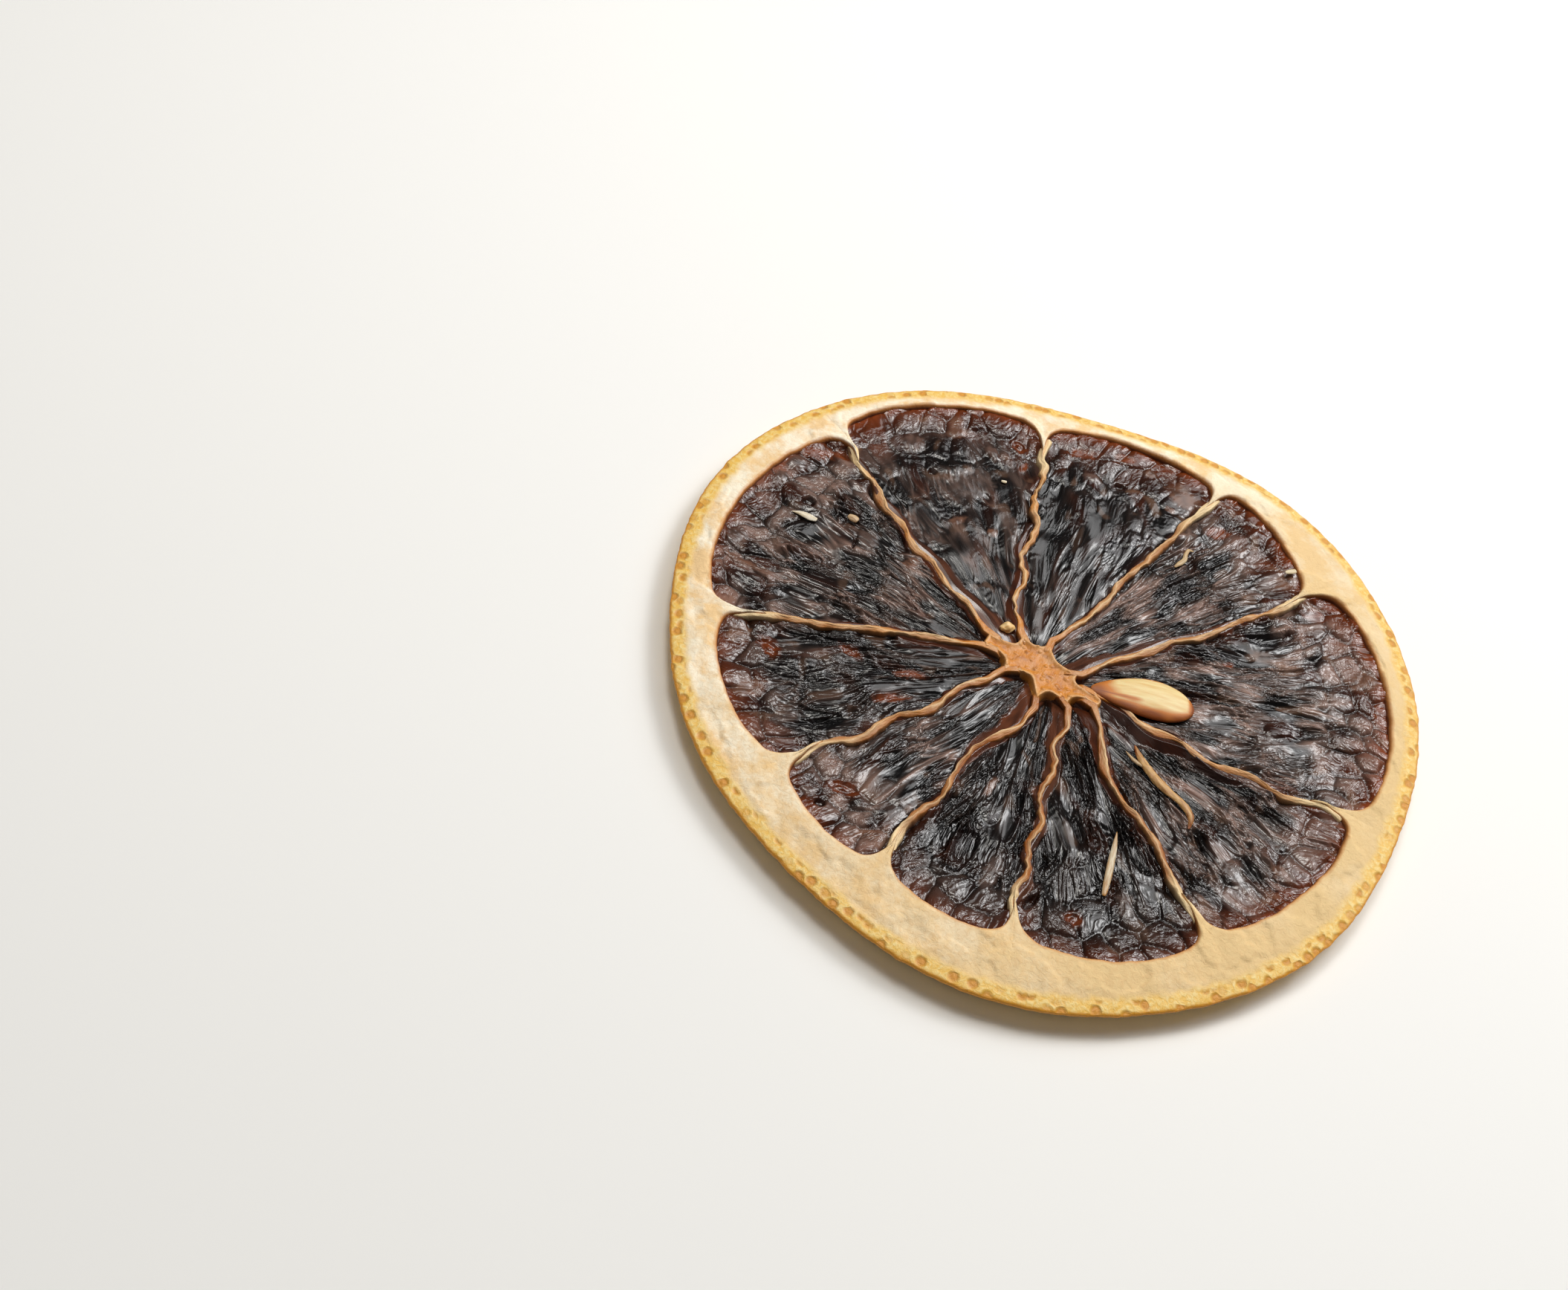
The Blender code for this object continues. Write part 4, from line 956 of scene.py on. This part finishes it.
    # Marks: ellipses with ragged edges, each a small paraboloid with rings and its own colours.
    px = plan["coreCentre"][0] + radius * np.cos(theta)
    py = plan["coreCentre"][1] + radius * np.sin(theta)
    ragged = 1 + noise("markEdge", px, py) + noise("markEdgeFine", px, py)
    grain = np.clip(looks["markPatchy"] + noise("markGrain", w, s), 0, 1)
    for kind, markX, markY, half, halfAcross, turn in markRows[name]:
        lift, calm, ring, markRust, markFilm, markDustAndSheen, markShade = markKinds[kind]
        c, n = math.cos(math.radians(turn)), math.sin(math.radians(turn))
        dx, dy = px - markX, py - markY
        away = ragged * np.hypot((dx * c + dy * n) / half, (dy * c - dx * n) / halfAcross)
        inside = 1 - smoothStep(*steps["markEdge"], away)
        relief = relief * (1 - calm * inside) + lift * np.maximum(0, 1 - away * away)
        relief = relief + ring * np.cos(away * looks["ringTurn"]) * inside
        markRust = markRust * (1 - looks["ringRust"] * smoothStep(*steps["ringEdge"], away) * (ring > 0))
        rust = rust * (1 - inside) + inside * grain * markRust
        film = np.maximum(film, inside * grain * markFilm)
        dustAndSheen = dustAndSheen * (1 - inside) + inside * grain * markDustAndSheen
        # pits are painted dark, as shade
        plumpUnshaded = plumpUnshaded * (1 - markShade * inside)
        strand, blisterMask = strand * (1 - calm * inside), blisterMask * (1 - calm * inside)
    patchy = np.clip(looks["flankPatchy"] + noise("flankGrain", w, s), 0, 1)
    for over, slope, brown, pale in flanks:
        relief = relief * (1 - looks["flankCalm"] * over) + slope
        rust = rust * (1 - over) + looks["flankRust"] * over * brown * patchy
        film = film * (1 - over) + over * pale * patchy
        dustAndSheen = dustAndSheen * (1 - over)
        plumpUnshaded = plumpUnshaded * (1 - over) + looks["flankPlumpUnshaded"] * over
        strand, blisterMask = strand * (1 - looks["flankBare"] * over), blisterMask * (1 - over)

    # Top: a power of the way from the core, plus the relief, never above the membranes beside it.
    climb = (looks["heightAtEnd"] - looks["heightAtTip"]) * np.clip(along, 0, 1) ** looks["risePower"]
    top = looks["heightAtTip"] + climb + relief + edgeTerm
    top = top + looks["endRise"] * np.exp(-((outerGap / looks["endRun"]) ** 2))
    top = top - looks["tipDrop"] * tipCrevice
    top = np.minimum(top, crestHeight(along) - looks["belowCrest"] + looks["belowCrestSlope"] * edge)
    top = np.clip(top, looks["lowest"], looks["highest"])

    # Underside: the same sheet from below, smoother.
    u = np.linspace(1, 0, looks["underColumns"] + 2)[1:-1][None, :]
    underTheta = startAngle + (lastAngle - startAngle) * u
    underInner = tipRadius(index, u)
    underRadius = underInner + (endRadius(index, u) - underInner) * along
    underEdge = np.minimum(u, 1 - u) * (lastAngle - startAngle) * underRadius
    ux, uy = underRadius * np.cos(underTheta), underRadius * np.sin(underTheta)
    under = looks["under"] + noise("under", ux, uy)
    size = looks["underRidgeSize"]
    under = under + looks["underRidge"] * ridges(ux / size, uy / size, seed + 21)
    under = under + looks["underEdge"] * np.exp(-underEdge / looks["underEdgeWidth"])
    under = np.minimum(under, looks["underHighest"])

    grid = np.concatenate([placed(theta, radius, top), placed(underTheta, underRadius, under)], 1)
    blank = 0 * underRadius
    fields = {  # on top, and all over the underside
        "flow": (np.stack([w, s, 0 * w], -1), np.stack([ux, uy, blank], -1)),
        "plumpUnshaded": (plumpUnshaded, blank + 0.6), "rust": (rust, blank + 0.2), "dustAndSheen": (dustAndSheen, blank + 0.3),
        "film": (film, blank), "blister": (blisterMask * fineness, blank + 0.5),
        "strand": (strand * (1 - blisterMask) * fineness, blank + 0.3),
    }
    fields = {key: np.concatenate(sides, 1) for key, sides in fields.items()}
    return meshFrom("lemon_flesh_" + name, [(grid, columns, fields)], material)


# Membranes: a wall carried along each membrane's path, with a crest that wanders from side to side. Half
# width: a constant plus noise plus an exponential flare into the core and one into the pith. Height: the
# crest's own curve plus noise, less a slant to both sides, and falling by a smooth step at its faces.
wallLooks = {
    "step": 0.11, "columns": 42, "span": (-0.08, 1.08), "sides": 2.3,  # half widths out to the wall's foot
    "halfWidth": 0.22, "slant": 0.14, "crestOff": 0.75, "crestWidth": 0.30,
    "faces": (1.00, 1.60), "skirt": 0.45,  # half widths at the top's edge and the face's foot; depth below
    "leaves": (0.0, 0.12), "arrives": (0.92, 1.0), "hidden": (-0.08, -0.055),  # shares of its way
    "coreEnd": 0.25, "widens": (0.75, 0.35), "laneGap": 7.3, "patternGap": 31,
    "rootFlare": 0.08, "rootFlareLength": 0.9, "rootDip": 0.3, "footFlare": 0.10, "footFlareLength": 1.5,
    "crestAtRoot": 1.70, "crestAtFoot": 2.12, "crestPower": 1.2, "fleshLine": 1.10,
    # colours: cream at the foot, paleness of the painted highlight along the crest and more of it near the
    # core;
    # then, for orange and wet, the plain value and what the core adds; brown, how much of it, and that of the
    # side away from the crest, which is painted shade
    "cream": 0.95, "footFrom": (0.80, 0.97), "crestHighlightPale": (0.30, 0.40), "orange": (0.15, 0.5),
    "wet": (0.15, 0.6), "brown": (0.75, 0.65, 0.50),
    # below the flesh it closes in a keel: distance to the side, height
    "keel": ((0.40, 0.75), (0.20, 0.42), (0.0, 0.30), (-0.20, 0.42), (-0.40, 0.75)),
    "noises": {  # strength, wavelength along the membrane and from one membrane to the next, seed
        "crestSide": (1.6, 2.6, 1.0, 41), "wiggle": (0.10, 1.9, 1.0, 31), "wiggleFine": (0.05, 0.6, 1.0, 32),
        "width": (0.10, 1.7, 1.0, 33), "crest": (0.10, 2.3, 1.0, 34), "lean": (0.14, 3.1, 1.0, 35),
        "grain": (0.018, 0.5, 1.0, 36), "frill": (0.05, 0.9, 1.0, 37), "orange": (0.7, 2.2, 1.0, 38),
        "orangeFine": (0.35, 0.9, 1.0, 39), "brown": (0.5, 1.5, 1.0, 40),
    },
}


# Height of a membrane's crest at a share of its way: from the core's to the rind's, by a power.
def crestHeight(share):
    root, foot = wallLooks["crestAtRoot"], wallLooks["crestAtFoot"]
    return root + (foot - root) * np.clip(share, 0, 1) ** wallLooks["crestPower"]


def makeMembranes(material):
    looks = wallLooks
    noise = noisesOf(looks["noises"])
    side = np.linspace(-looks["sides"], looks["sides"], looks["columns"])[None, :]  # share of the half width
    away = np.abs(side)
    fall = smoothStep(*looks["faces"], away)
    grids = []
    for number, row in enumerate(membraneRows):
        browned, widened, kinked = membraneTraits[number]
        length = row[3] - row[0]
        rows = int(length * (looks["span"][1] - looks["span"][0]) / looks["step"])
        share = np.linspace(*looks["span"], rows)
        out = share * length
        angle = membraneAngle(row, share)
        x, y = (row[0] + out) * np.cos(angle), (row[0] + out) * np.sin(angle)
        tangent = np.stack([np.gradient(x), np.gradient(y)], 1)
        tangent /= np.linalg.norm(tangent, axis=1)[:, None]
        lane = np.full(rows, looks["laneGap"] * number)
        atCore = 1 - smoothStep(0.0, looks["coreEnd"], share)
        leaving = smoothStep(*looks["leaves"], share)  # 0 inside the core, 1 well out of it
        inside = leaving * (1 - smoothStep(*looks["arrives"], share))

        # its top slants down to both sides of a sharp crest, now nearer one side and now the other
        crestAt = leaving * np.clip(noise("crestSide", out, lane), -looks["crestOff"], looks["crestOff"])
        offCrest = np.abs(side - crestAt[:, None])
        riseShare = (1 - looks["slant"] * leaving[:, None] * offCrest) * (1 - fall)
        riseShare = riseShare - looks["skirt"] * smoothStep(looks["faces"][1], looks["sides"], away)
        wiggle = kinked * (noise("wiggle", out, lane) + noise("wiggleFine", out, lane)) * inside
        x, y = x - tangent[:, 1] * wiggle, y + tangent[:, 0] * wiggle
        least, run = looks["widens"]
        half = looks["halfWidth"] * widened * (least + (1 - least) * smoothStep(0.0, run, share))
        half = half + noise("width", out, lane) * (0.5 + 0.5 * inside)
        half = half + looks["rootFlare"] * np.exp(-np.maximum(out, 0) / looks["rootFlareLength"])
        half = half + looks["footFlare"] * np.exp(-np.maximum(length - out, 0) / looks["footFlareLength"])
        crest = crestHeight(share) + noise("crest", out, lane) * inside
        crest = crest - looks["rootDip"] * (1 - smoothStep(*looks["hidden"], share))  # it starts in the core
        lean = noise("lean", out, lane) * inside

        out, lane, share = out[:, None], lane[:, None], share[:, None]
        onTop = riseShare > 0.3
        height = looks["fleshLine"] + (crest[:, None] - looks["fleshLine"]) * riseShare
        height = height + noise("grain", out, side * 2.5 + lane) * onTop
        offset = half[:, None] * side + lean[:, None] * np.clip(riseShare, 0, 1)
        frill = noise("frill", out, np.sign(side) * 4 + lane)
        offset = offset + frill * np.sign(side) * onTop * inside[:, None]
        keel = np.array(looks["keel"])
        blank = 0 * (out + keel[:, 0])
        offset = np.concatenate([offset, blank + keel[:, 0]], 1)
        height = np.concatenate([height, blank + keel[:, 1]], 1)
        px = x[:, None] - tangent[:, 1:2] * offset
        py = y[:, None] + tangent[:, 0:1] * offset
        theta, r = np.arctan2(py, px), np.hypot(px, py)

        # the faces, where the wall falls, get painted dark brown as shade, and the side away from the crest
        # painted brown as shade
        rise = np.concatenate([1 - fall + 0 * out, blank + 0.9], 1)
        footCream = smoothStep(*looks["footFrom"], share) * smoothStep(0.1, 0.8, rise)
        # a pale line along the crest: a painted highlight
        crestHighlight = np.exp(-((offCrest / looks["crestWidth"]) ** 2)) * leaving[:, None]
        crestHighlight = np.concatenate([crestHighlight, blank], 1)
        pale, palerAtCore = looks["crestHighlightPale"]
        crestHighlightStrength = pale + palerAtCore * (1 - smoothStep(0.1, 0.5, share))
        shadySide = np.concatenate([np.clip(offCrest - 0.4, 0, 1), blank], 1)
        plain, more = looks["orange"]
        orange = more * atCore[:, None] + plain + noise("orange", out, lane) + noise("orangeFine", out, lane)
        plain, most, shade = looks["brown"]
        brown = browned * (plain + noise("brown", out, lane)) * (1 - smoothStep(0.85, 1.0, share))
        plain, more = looks["wet"]
        fields = {
            "rise": rise, "cream": np.clip(looks["cream"] * footCream + crestHighlightStrength * crestHighlight, 0, 1),
            "orange": np.clip(orange + 0 * rise, 0, 1),
            "brown": np.clip(most * brown + shade * shadySide, 0, 1),
            "wet": plain + more * atCore[:, None] + 0 * rise,
            "flow": np.stack([offset, out + looks["patternGap"] * number + 0 * offset, 0 * offset], -1),
        }
        grids.append((placed(theta, r, height), "cap", fields))
    return meshFrom("lemon_membranes", grids, material)


# Core: a star whose points run into the membranes, a glossy web with a raised, rolled rim and small
# dried drops on it. Heights follow the distance to the rim: a bell curve for the roll and smooth steps for
# the sunken web and the edge, plus noise and a paraboloid for each drop.
coreLooks = {
    "columnsPerSegment": 60, "rings": 48, "ringPower": 1.6, "top": 1.62, "edgeDrop": 0.66, "edgeWidth": 0.22,
    "rimHeight": 0.09, "rimInset": 0.28, "rimWidth": 0.18, "webSink": 0.10, "webWidth": 0.9,
    "dropSize": 0.60, "dropHeight": 0.08, "overlap": 0.10, "under": 0.34,
    "noises": {
        "lumps": (0.08, 1.1, 1.1, 52), "lumpsFine": (0.016, 0.35, 0.35, 55), "under": (0.05, 1.0, 1.0, 53),
        "flecks": (1.0, 0.55, 0.55, 54), "orange": (0.6, 0.9, 0.9, 56),
    },
}


def makeCore(material):
    looks = coreLooks
    noise = noisesOf(looks["noises"])
    angles, edges, offPoints = [], [], []
    for index in range(len(segmentRows)):
        first, last = sidesOf(index)
        even = np.arange(looks["columnsPerSegment"]) / looks["columnsPerSegment"]
        across = (1 - np.cos(math.pi * even)) / 2
        start = membraneAngle(first, 0.0)
        angles.append(start + (membraneAngle(last, 0.0) - start) * across)
        edges.append(tipRadius(index, across))
        offPoints.append(np.minimum(across, 1 - across) > 0.02)  # the star's points don't end at its rim
    angle, edge = np.concatenate(angles)[None, :], np.concatenate(edges)[None, :] + looks["overlap"]
    share = 1 - (1 - (np.arange(looks["rings"]) + 1)[:, None] / looks["rings"]) ** looks["ringPower"]
    radius = edge * share
    x, y = radius * np.cos(angle), radius * np.sin(angle)
    toEdge = np.full(x.shape, 9.0)
    for part in np.array_split(np.flatnonzero(np.concatenate(offPoints)), 12):  # in parts, to save memory
        edgeX, edgeY = x[-1, part], y[-1, part]
        toEdge = np.minimum(toEdge, np.hypot(x[..., None] - edgeX, y[..., None] - edgeY).min(-1))
    near, _, tag = cells(x / looks["dropSize"], y / looks["dropSize"], 51)
    drop = np.maximum(0, 1 - 11.0 * near * near) * (tag > 0.62)
    rim = np.exp(-(((toEdge - looks["rimInset"]) / looks["rimWidth"]) ** 2))
    height = looks["top"] + noise("lumps", x, y) + noise("lumpsFine", x, y) + looks["dropHeight"] * drop
    height = height + looks["rimHeight"] * rim - looks["webSink"] * smoothStep(0.3, looks["webWidth"], toEdge)
    height = height - looks["edgeDrop"] * (1 - smoothStep(0.0, looks["edgeWidth"], toEdge))
    underRadius = edge * share[::-1][1::4]
    underX, underY = underRadius * np.cos(angle), underRadius * np.sin(angle)
    underHeight = looks["under"] + noise("under", underX, underY)
    grid = np.concatenate([placed(angle, radius, height), placed(angle, underRadius, underHeight)])
    blank = 0 * underRadius
    # the flecks are the core's own; where it drops away at its edge it is painted darker and browner, as
    # shade
    flecks = smoothStep(0.30, 0.60, noise("flecks", x, y)) * smoothStep(0.1, 0.4, toEdge)
    brown = 0.12 + 0.4 * flecks + 0.5 * (1 - smoothStep(0.0, 0.12, toEdge))
    fields = {  # on top, and all over the underside
        "rise": (0.35 + 0.65 * smoothStep(-0.03, 0.12, toEdge), blank + 0.9),
        "cream": (0.30 * rim * smoothStep(0.08, 0.2, toEdge), blank),
        "orange": (np.clip(1.0 + noise("orange", x, y), 0.6, 1), blank + 0.5),
        "brown": (np.clip(brown, 0, 1), blank + 0.2),
        "wet": (0 * radius + 0.6, blank),
        "flow": (np.stack([x, y, 0 * x], -1), np.stack([underX, underY, blank + 5], -1)),
    }
    fields = {key: np.concatenate(sides) for key, sides in fields.items()}
    return meshFrom("lemon_core", [(grid, "pole", fields)], material)


# Seed: rings with an ellipsoid's girth, cut down towards the tip by a quarter sine, about a middle line
# that bows by a half sine. The sheath covers the low half, both ends and both sides, with a fold over the
# near one.
def makeSeed(material):
    looks = seedLooks
    noise = noisesOf(looks["reliefs"])
    start, end = np.array(looks["start"]), np.array(looks["end"])
    along = end - start
    length = np.hypot(*along)
    across = np.array([-along[1], along[0]]) / length
    turn = math.pi * (np.arange(looks["stations"]) + 0.5)[:, None] / looks["stations"]
    share = (1 - np.cos(turn)) / 2
    girth = np.sin(turn) * (1 - looks["pointedness"] * (1 - np.sin(0.5 * math.pi * share)))
    around = 2 * math.pi * np.arange(looks["sides"])[None, :] / looks["sides"]
    side = 0.5 * looks["width"] * girth * np.cos(around)
    lift = 0.5 * looks["thickness"] * girth * np.sin(around)
    lift = lift + noise("dents", side, share * length)
    bow = looks["bow"] * np.sin(math.pi * share)
    x = start[0] + along[0] * share + across[0] * (side + bow) + plan["recentre"][0]
    y = start[1] + along[1] * share + across[1] * (side + bow) + plan["recentre"][1]
    points = np.stack([x, y, looks["height"] + lift], -1) * millimetre
    nearSide, farSide, below, tip, blunt, fold = looks["sheath"]
    nearSide = nearSide * smoothStep(0.36, 0.90, -np.cos(around))
    farSide = farSide * smoothStep(0.75, 1.0, np.cos(around))
    below = below * smoothStep(-0.20, 0.40, -np.sin(around))
    tip = tip * (1 - smoothStep(0.04, 0.40, share))
    blunt = blunt * smoothStep(0.90, 1.0, share)
    fold = fold * np.exp(-(((np.cos(around) + 0.42) / 0.12) ** 2)) * (np.sin(around) > 0)
    fold = fold * (1 - smoothStep(0.30, 0.60, share))
    sheath = np.maximum(np.maximum(np.maximum(nearSide, farSide), np.maximum(below, tip)), fold)
    wander = noise("sheathEdge", side, share * length) * smoothStep(0.0, 0.2, sheath + 0.1)
    sheath = np.clip(np.maximum(sheath, blunt) + wander, 0, 1)
    flow = np.stack([side, share * length + 0 * side, 0 * side], -1)
    return meshFrom("lemon_seed", [(points, "pole", {"flow": flow, "sheath": sheath})], material)


# Chaff: shreds laid on the flesh, each a flattened oval swept along a path, as wide as the path says, times
# the square root of a half sine that rounds both ends, plus noise. Thickness to the width, lumpiness, pale
# and brown colour; then the path's points: place from the middle of the outline, height, width.
chaffRows = {
    "husk": (0.45, 0.04, "#D9CBAE", "#B07A34", (
        (9.01, -12.04, 1.78, 0.08), (9.20, -13.30, 1.86, 0.40), (9.41, -15.03, 1.90, 0.54),
        (9.60, -16.60, 1.88, 0.54), (9.73, -17.84, 1.86, 0.50),
    )),
    "fibre": (0.50, 0.10, "#CFA468", "#8E4C1A", (
        (7.93, -3.90, 1.60, 0.24), (8.50, -4.80, 1.72, 0.62), (9.24, -5.55, 1.80, 0.70),
        (10.72, -6.66, 1.86, 0.80), (12.28, -7.26, 1.86, 0.58), (13.20, -7.75, 1.82, 0.70),
        (13.60, -8.50, 1.78, 0.56), (13.55, -9.30, 1.70, 0.20),
    )),
    "prong": (0.55, 0.05, "#D5BC90", "#8A6440", (
        (7.55, -4.85, 1.64, 0.12), (8.30, -5.45, 1.74, 0.34), (9.30, -5.75, 1.78, 0.28),
    )),
    "flake": (0.30, 0.05, "#EFE8D8", "#D2C09A", (
        (-22.60, 3.50, 1.74, 0.10), (-21.90, 3.60, 1.82, 0.52), (-21.20, 3.62, 1.82, 0.66),
        (-20.50, 3.62, 1.80, 0.60),
    )),
    "chip": (0.35, 0.05, "#D8BE96", "#9A7148", (
        (-18.65, 5.55, 1.70, 0.60), (-18.20, 5.45, 1.74, 0.72), (-17.75, 5.35, 1.72, 0.66),
    )),
    "speck": (0.50, 0.04, "#E8DDC2", "#C4A878", ((-9.40, 15.95, 1.62, 0.28), (-8.95, 16.05, 1.64, 0.36))),
    "curl": (0.50, 0.05, "#DEC99E", "#A87E4E", (
        (6.80, 17.15, 1.72, 0.16), (6.30, 16.95, 1.84, 0.36), (6.25, 16.30, 1.88, 0.34),
        (6.35, 15.70, 1.86, 0.40), (6.02, 15.00, 1.82, 0.46), (5.80, 14.55, 1.76, 0.26),
    )),
    "shred": (0.22, 0.03, "#E2D4B4", "#C2AA7C", ((13.95, 18.55, 2.26, 0.34), (14.70, 19.20, 2.30, 0.56))),
    "crumb": (0.70, 0.20, "#F6D9A0", "#DCA65C", (
        (-4.40, 1.20, 1.56, 0.60), (-3.90, 1.60, 1.64, 0.95), (-3.40, 1.95, 1.60, 0.62),
    )),
}

chaffLooks = {
    "stations": 90, "sides": 28, "roundness": 0.05,  # share of the length over which a bend is rounded
    "noises": {"girth": (1.0, 0.5, 1.0, 71), "uneven": (0.04, 0.8, 0.8, 72), "lumps": (0.4, 0.4, 0.4, 73)},
}


def makeChaff(name, row):
    looks = chaffLooks
    noise = noisesOf(looks["noises"])
    flatness, lumpy, pale, brown, path = row
    path = np.array(path)
    run = np.insert(np.cumsum(np.hypot(*np.diff(path[:, :2], axis=0).T)), 0, 0.0)
    turn = math.pi * (np.arange(looks["stations"]) + 0.5) / looks["stations"]
    out = run[-1] * (1 - np.cos(turn)) / 2
    shifts = np.array([-1, 0, 1]) * looks["roundness"] * run[-1]  # three readings averaged, for round bends
    x, y, height, width = (
        sum(np.interp(out + shift, run, path[:, column]) for shift in shifts) / 3 for column in range(4)
    )
    tangent = np.stack([np.gradient(x), np.gradient(y)], 1)
    tangent /= np.linalg.norm(tangent, axis=1)[:, None]
    around = 2 * math.pi * np.arange(looks["sides"])[None, :] / looks["sides"]
    girth = (width * np.sin(turn) ** 0.5)[:, None]
    girth = girth * (1 + lumpy * noise("girth", out[:, None], np.cos(around) + 2 * np.sin(around)))
    side = 0.5 * girth * np.cos(around)
    lift = 0.5 * flatness * girth * np.sin(around) - 0.25 * side * side / np.maximum(girth, 0.1)
    px = x[:, None] - tangent[:, 1:] * side + plan["recentre"][0]
    py = y[:, None] + tangent[:, :1] * side + plan["recentre"][1]
    uneven = noise("uneven", px, py) + lumpy * noise("lumps", px, py)
    points = np.stack([px, py, height[:, None] + lift + uneven], -1) * millimetre
    flow = np.stack([side, out[:, None] + 0 * side, 0 * side], -1)
    browned = min(1.0, run[-1] / 4.0) * (0.40 * np.exp(-out / 0.9) + 0.30 * np.exp(-(run[-1] - out) / 1.4))
    fields = {"flow": flow, "brown": browned[:, None] + 0 * side}
    material = makeStrawMaterial("straw_" + name, pale, brown)
    return meshFrom("lemon_chaff_" + name, [(points, "pole", fields)], material)


peelMaterial = makePeelMaterial()
pulpMaterial = makePulpMaterial()
membraneMaterial = makeMembraneMaterial()
makeRind(peelMaterial)
print("rind made")
for segmentIndex in range(len(segmentRows)):
    makeFlesh(segmentIndex, pulpMaterial)
print("flesh made")
makeMembranes(membraneMaterial)
makeCore(membraneMaterial)
print("membranes and core made")
makeSeed(makeSeedMaterial())
for chaffName, chaffRow in chaffRows.items():
    makeChaff(chaffName, chaffRow)
print("seed and chaff made")

# Studio, in metres: pale floor, dim white surroundings, two soft lights behind the slice, each with a
# smaller, brighter one before its middle, and a weak fill in front.
studio = {
    "floor": "#F6F5F2", "floorRoughness": 0.8, "floorSize": 3.0, "floorDrop": 0.00002,
    "surroundings": 0.09,  # strength of the white world
    "lights": (
        # name, direction (azimuth from +X, elevation), distance, size, power, colour
        ("softbox", (60.0, 48.0), 0.40, 0.32, 0.82, "#FFFFFF"),
        ("softboxMiddle", (60.0, 48.0), 0.38, 0.12, 0.40, "#FFFFFF"),
        ("top", (125.0, 72.0), 0.36, 0.22, 0.28, "#FFFCF6"),
        ("topMiddle", (125.0, 72.0), 0.34, 0.09, 0.26, "#FFFCF6"),
        ("fill", (-120.0, 55.0), 0.45, 0.30, 0.07, "#FFF8EE"),
    ),
}


def makeFloor():
    half, low = studio["floorSize"] / 2, -studio["floorDrop"]
    mesh = bpy.data.meshes.new("floor")
    corners = [(-half, -half, low), (half, -half, low), (half, half, low), (-half, half, low)]
    mesh.from_pydata(corners, [], [(0, 1, 2, 3)])
    material = bpy.data.materials.new("floor_card")  # matt card, so that it takes a soft shadow
    material.use_nodes = True
    card = {"Base Color": studio["floor"], "Roughness": studio["floorRoughness"]}
    setNode(material.node_tree, material.node_tree.nodes["Principled BSDF"], card)
    mesh.materials.append(material)
    floor = bpy.data.objects.new("floor", mesh)
    bpy.context.scene.collection.objects.link(floor)


def makeLights():
    for name, (azimuth, elevation), distance, size, power, colour in studio["lights"]:
        lamp = bpy.data.lights.new(name, "AREA")
        lamp.shape = "DISK"
        lamp.size = size
        lamp.energy = power
        lamp.color = fromHex(colour)[:3]
        light = bpy.data.objects.new(name, lamp)
        a, e = math.radians(azimuth), math.radians(elevation)
        back = np.array([math.cos(e) * math.cos(a), math.cos(e) * math.sin(a), math.sin(e)])
        right = np.cross([0, 0, 1], back)
        right /= np.linalg.norm(right)
        turned = np.eye(4)
        turned[:3, 0], turned[:3, 1], turned[:3, 2] = right, np.cross(back, right), back
        turned[:3, 3] = back * distance
        light.matrix_world = Matrix(turned.tolist())
        bpy.context.scene.collection.objects.link(light)
    world = bpy.data.worlds.new("studio")
    world.use_nodes = True
    world.node_tree.nodes["Background"].inputs["Color"].default_value = (1, 1, 1, 1)
    world.node_tree.nodes["Background"].inputs["Strength"].default_value = studio["surroundings"]
    bpy.context.scene.world = world


# Camera: looks from the front at the photograph's elevation, rolled, with the middle of the slice at its
# place in the picture. The picture is 2110 by 1736.
cameraLooks = {
    "elevation": 47.263, "distance": 144.313, "roll": 24.081, "middleInPicture": (1412.73, 890.45),
    "aimHeight": 1.75, "pictureSize": (2110, 1736), "focalPixels": 2600.0, "sensorWidth": 36.0,
    "clipStart": 5.0,
}


def makeCamera():
    looks = cameraLooks
    e, roll = math.radians(looks["elevation"]), math.radians(looks["roll"])
    back = np.array([0, -math.cos(e), math.sin(e)])
    right = np.array([1.0, 0, 0])
    axes = np.stack([right, np.cross(back, right), back], 1)
    c, s = math.cos(roll), math.sin(roll)
    axes = axes @ np.array([[c, -s, 0], [s, c, 0], [0, 0, 1]])
    u, v = looks["middleInPicture"]
    ray = np.array([u - looks["pictureSize"][0] / 2, looks["pictureSize"][1] / 2 - v, -looks["focalPixels"]])
    ray /= np.linalg.norm(ray)
    ahead = np.array([0, 0, -1.0])
    cross, dot = np.cross(ahead, ray), ahead @ ray
    skew = np.array([[0, -cross[2], cross[1]], [cross[2], 0, -cross[0]], [-cross[1], cross[0], 0]])
    axes = axes @ (np.eye(3) + skew + skew @ skew / (1 + dot)).T
    target = np.array([*plan["recentre"], looks["aimHeight"]])
    turned = np.eye(4)
    turned[:3, :3] = axes
    turned[:3, 3] = (target + back * looks["distance"]) * millimetre
    lens = bpy.data.cameras.new("camera")
    lens.sensor_width = looks["sensorWidth"]
    lens.lens = looks["sensorWidth"] * looks["focalPixels"] / looks["pictureSize"][0]
    lens.clip_start = looks["clipStart"] * millimetre
    camera = bpy.data.objects.new("camera", lens)
    camera.matrix_world = Matrix(turned.tolist())
    bpy.context.scene.collection.objects.link(camera)
    bpy.context.scene.camera = camera


makeFloor()
makeLights()
makeCamera()
bpy.context.scene.view_settings.view_transform = "Standard"
print("studio and camera made")
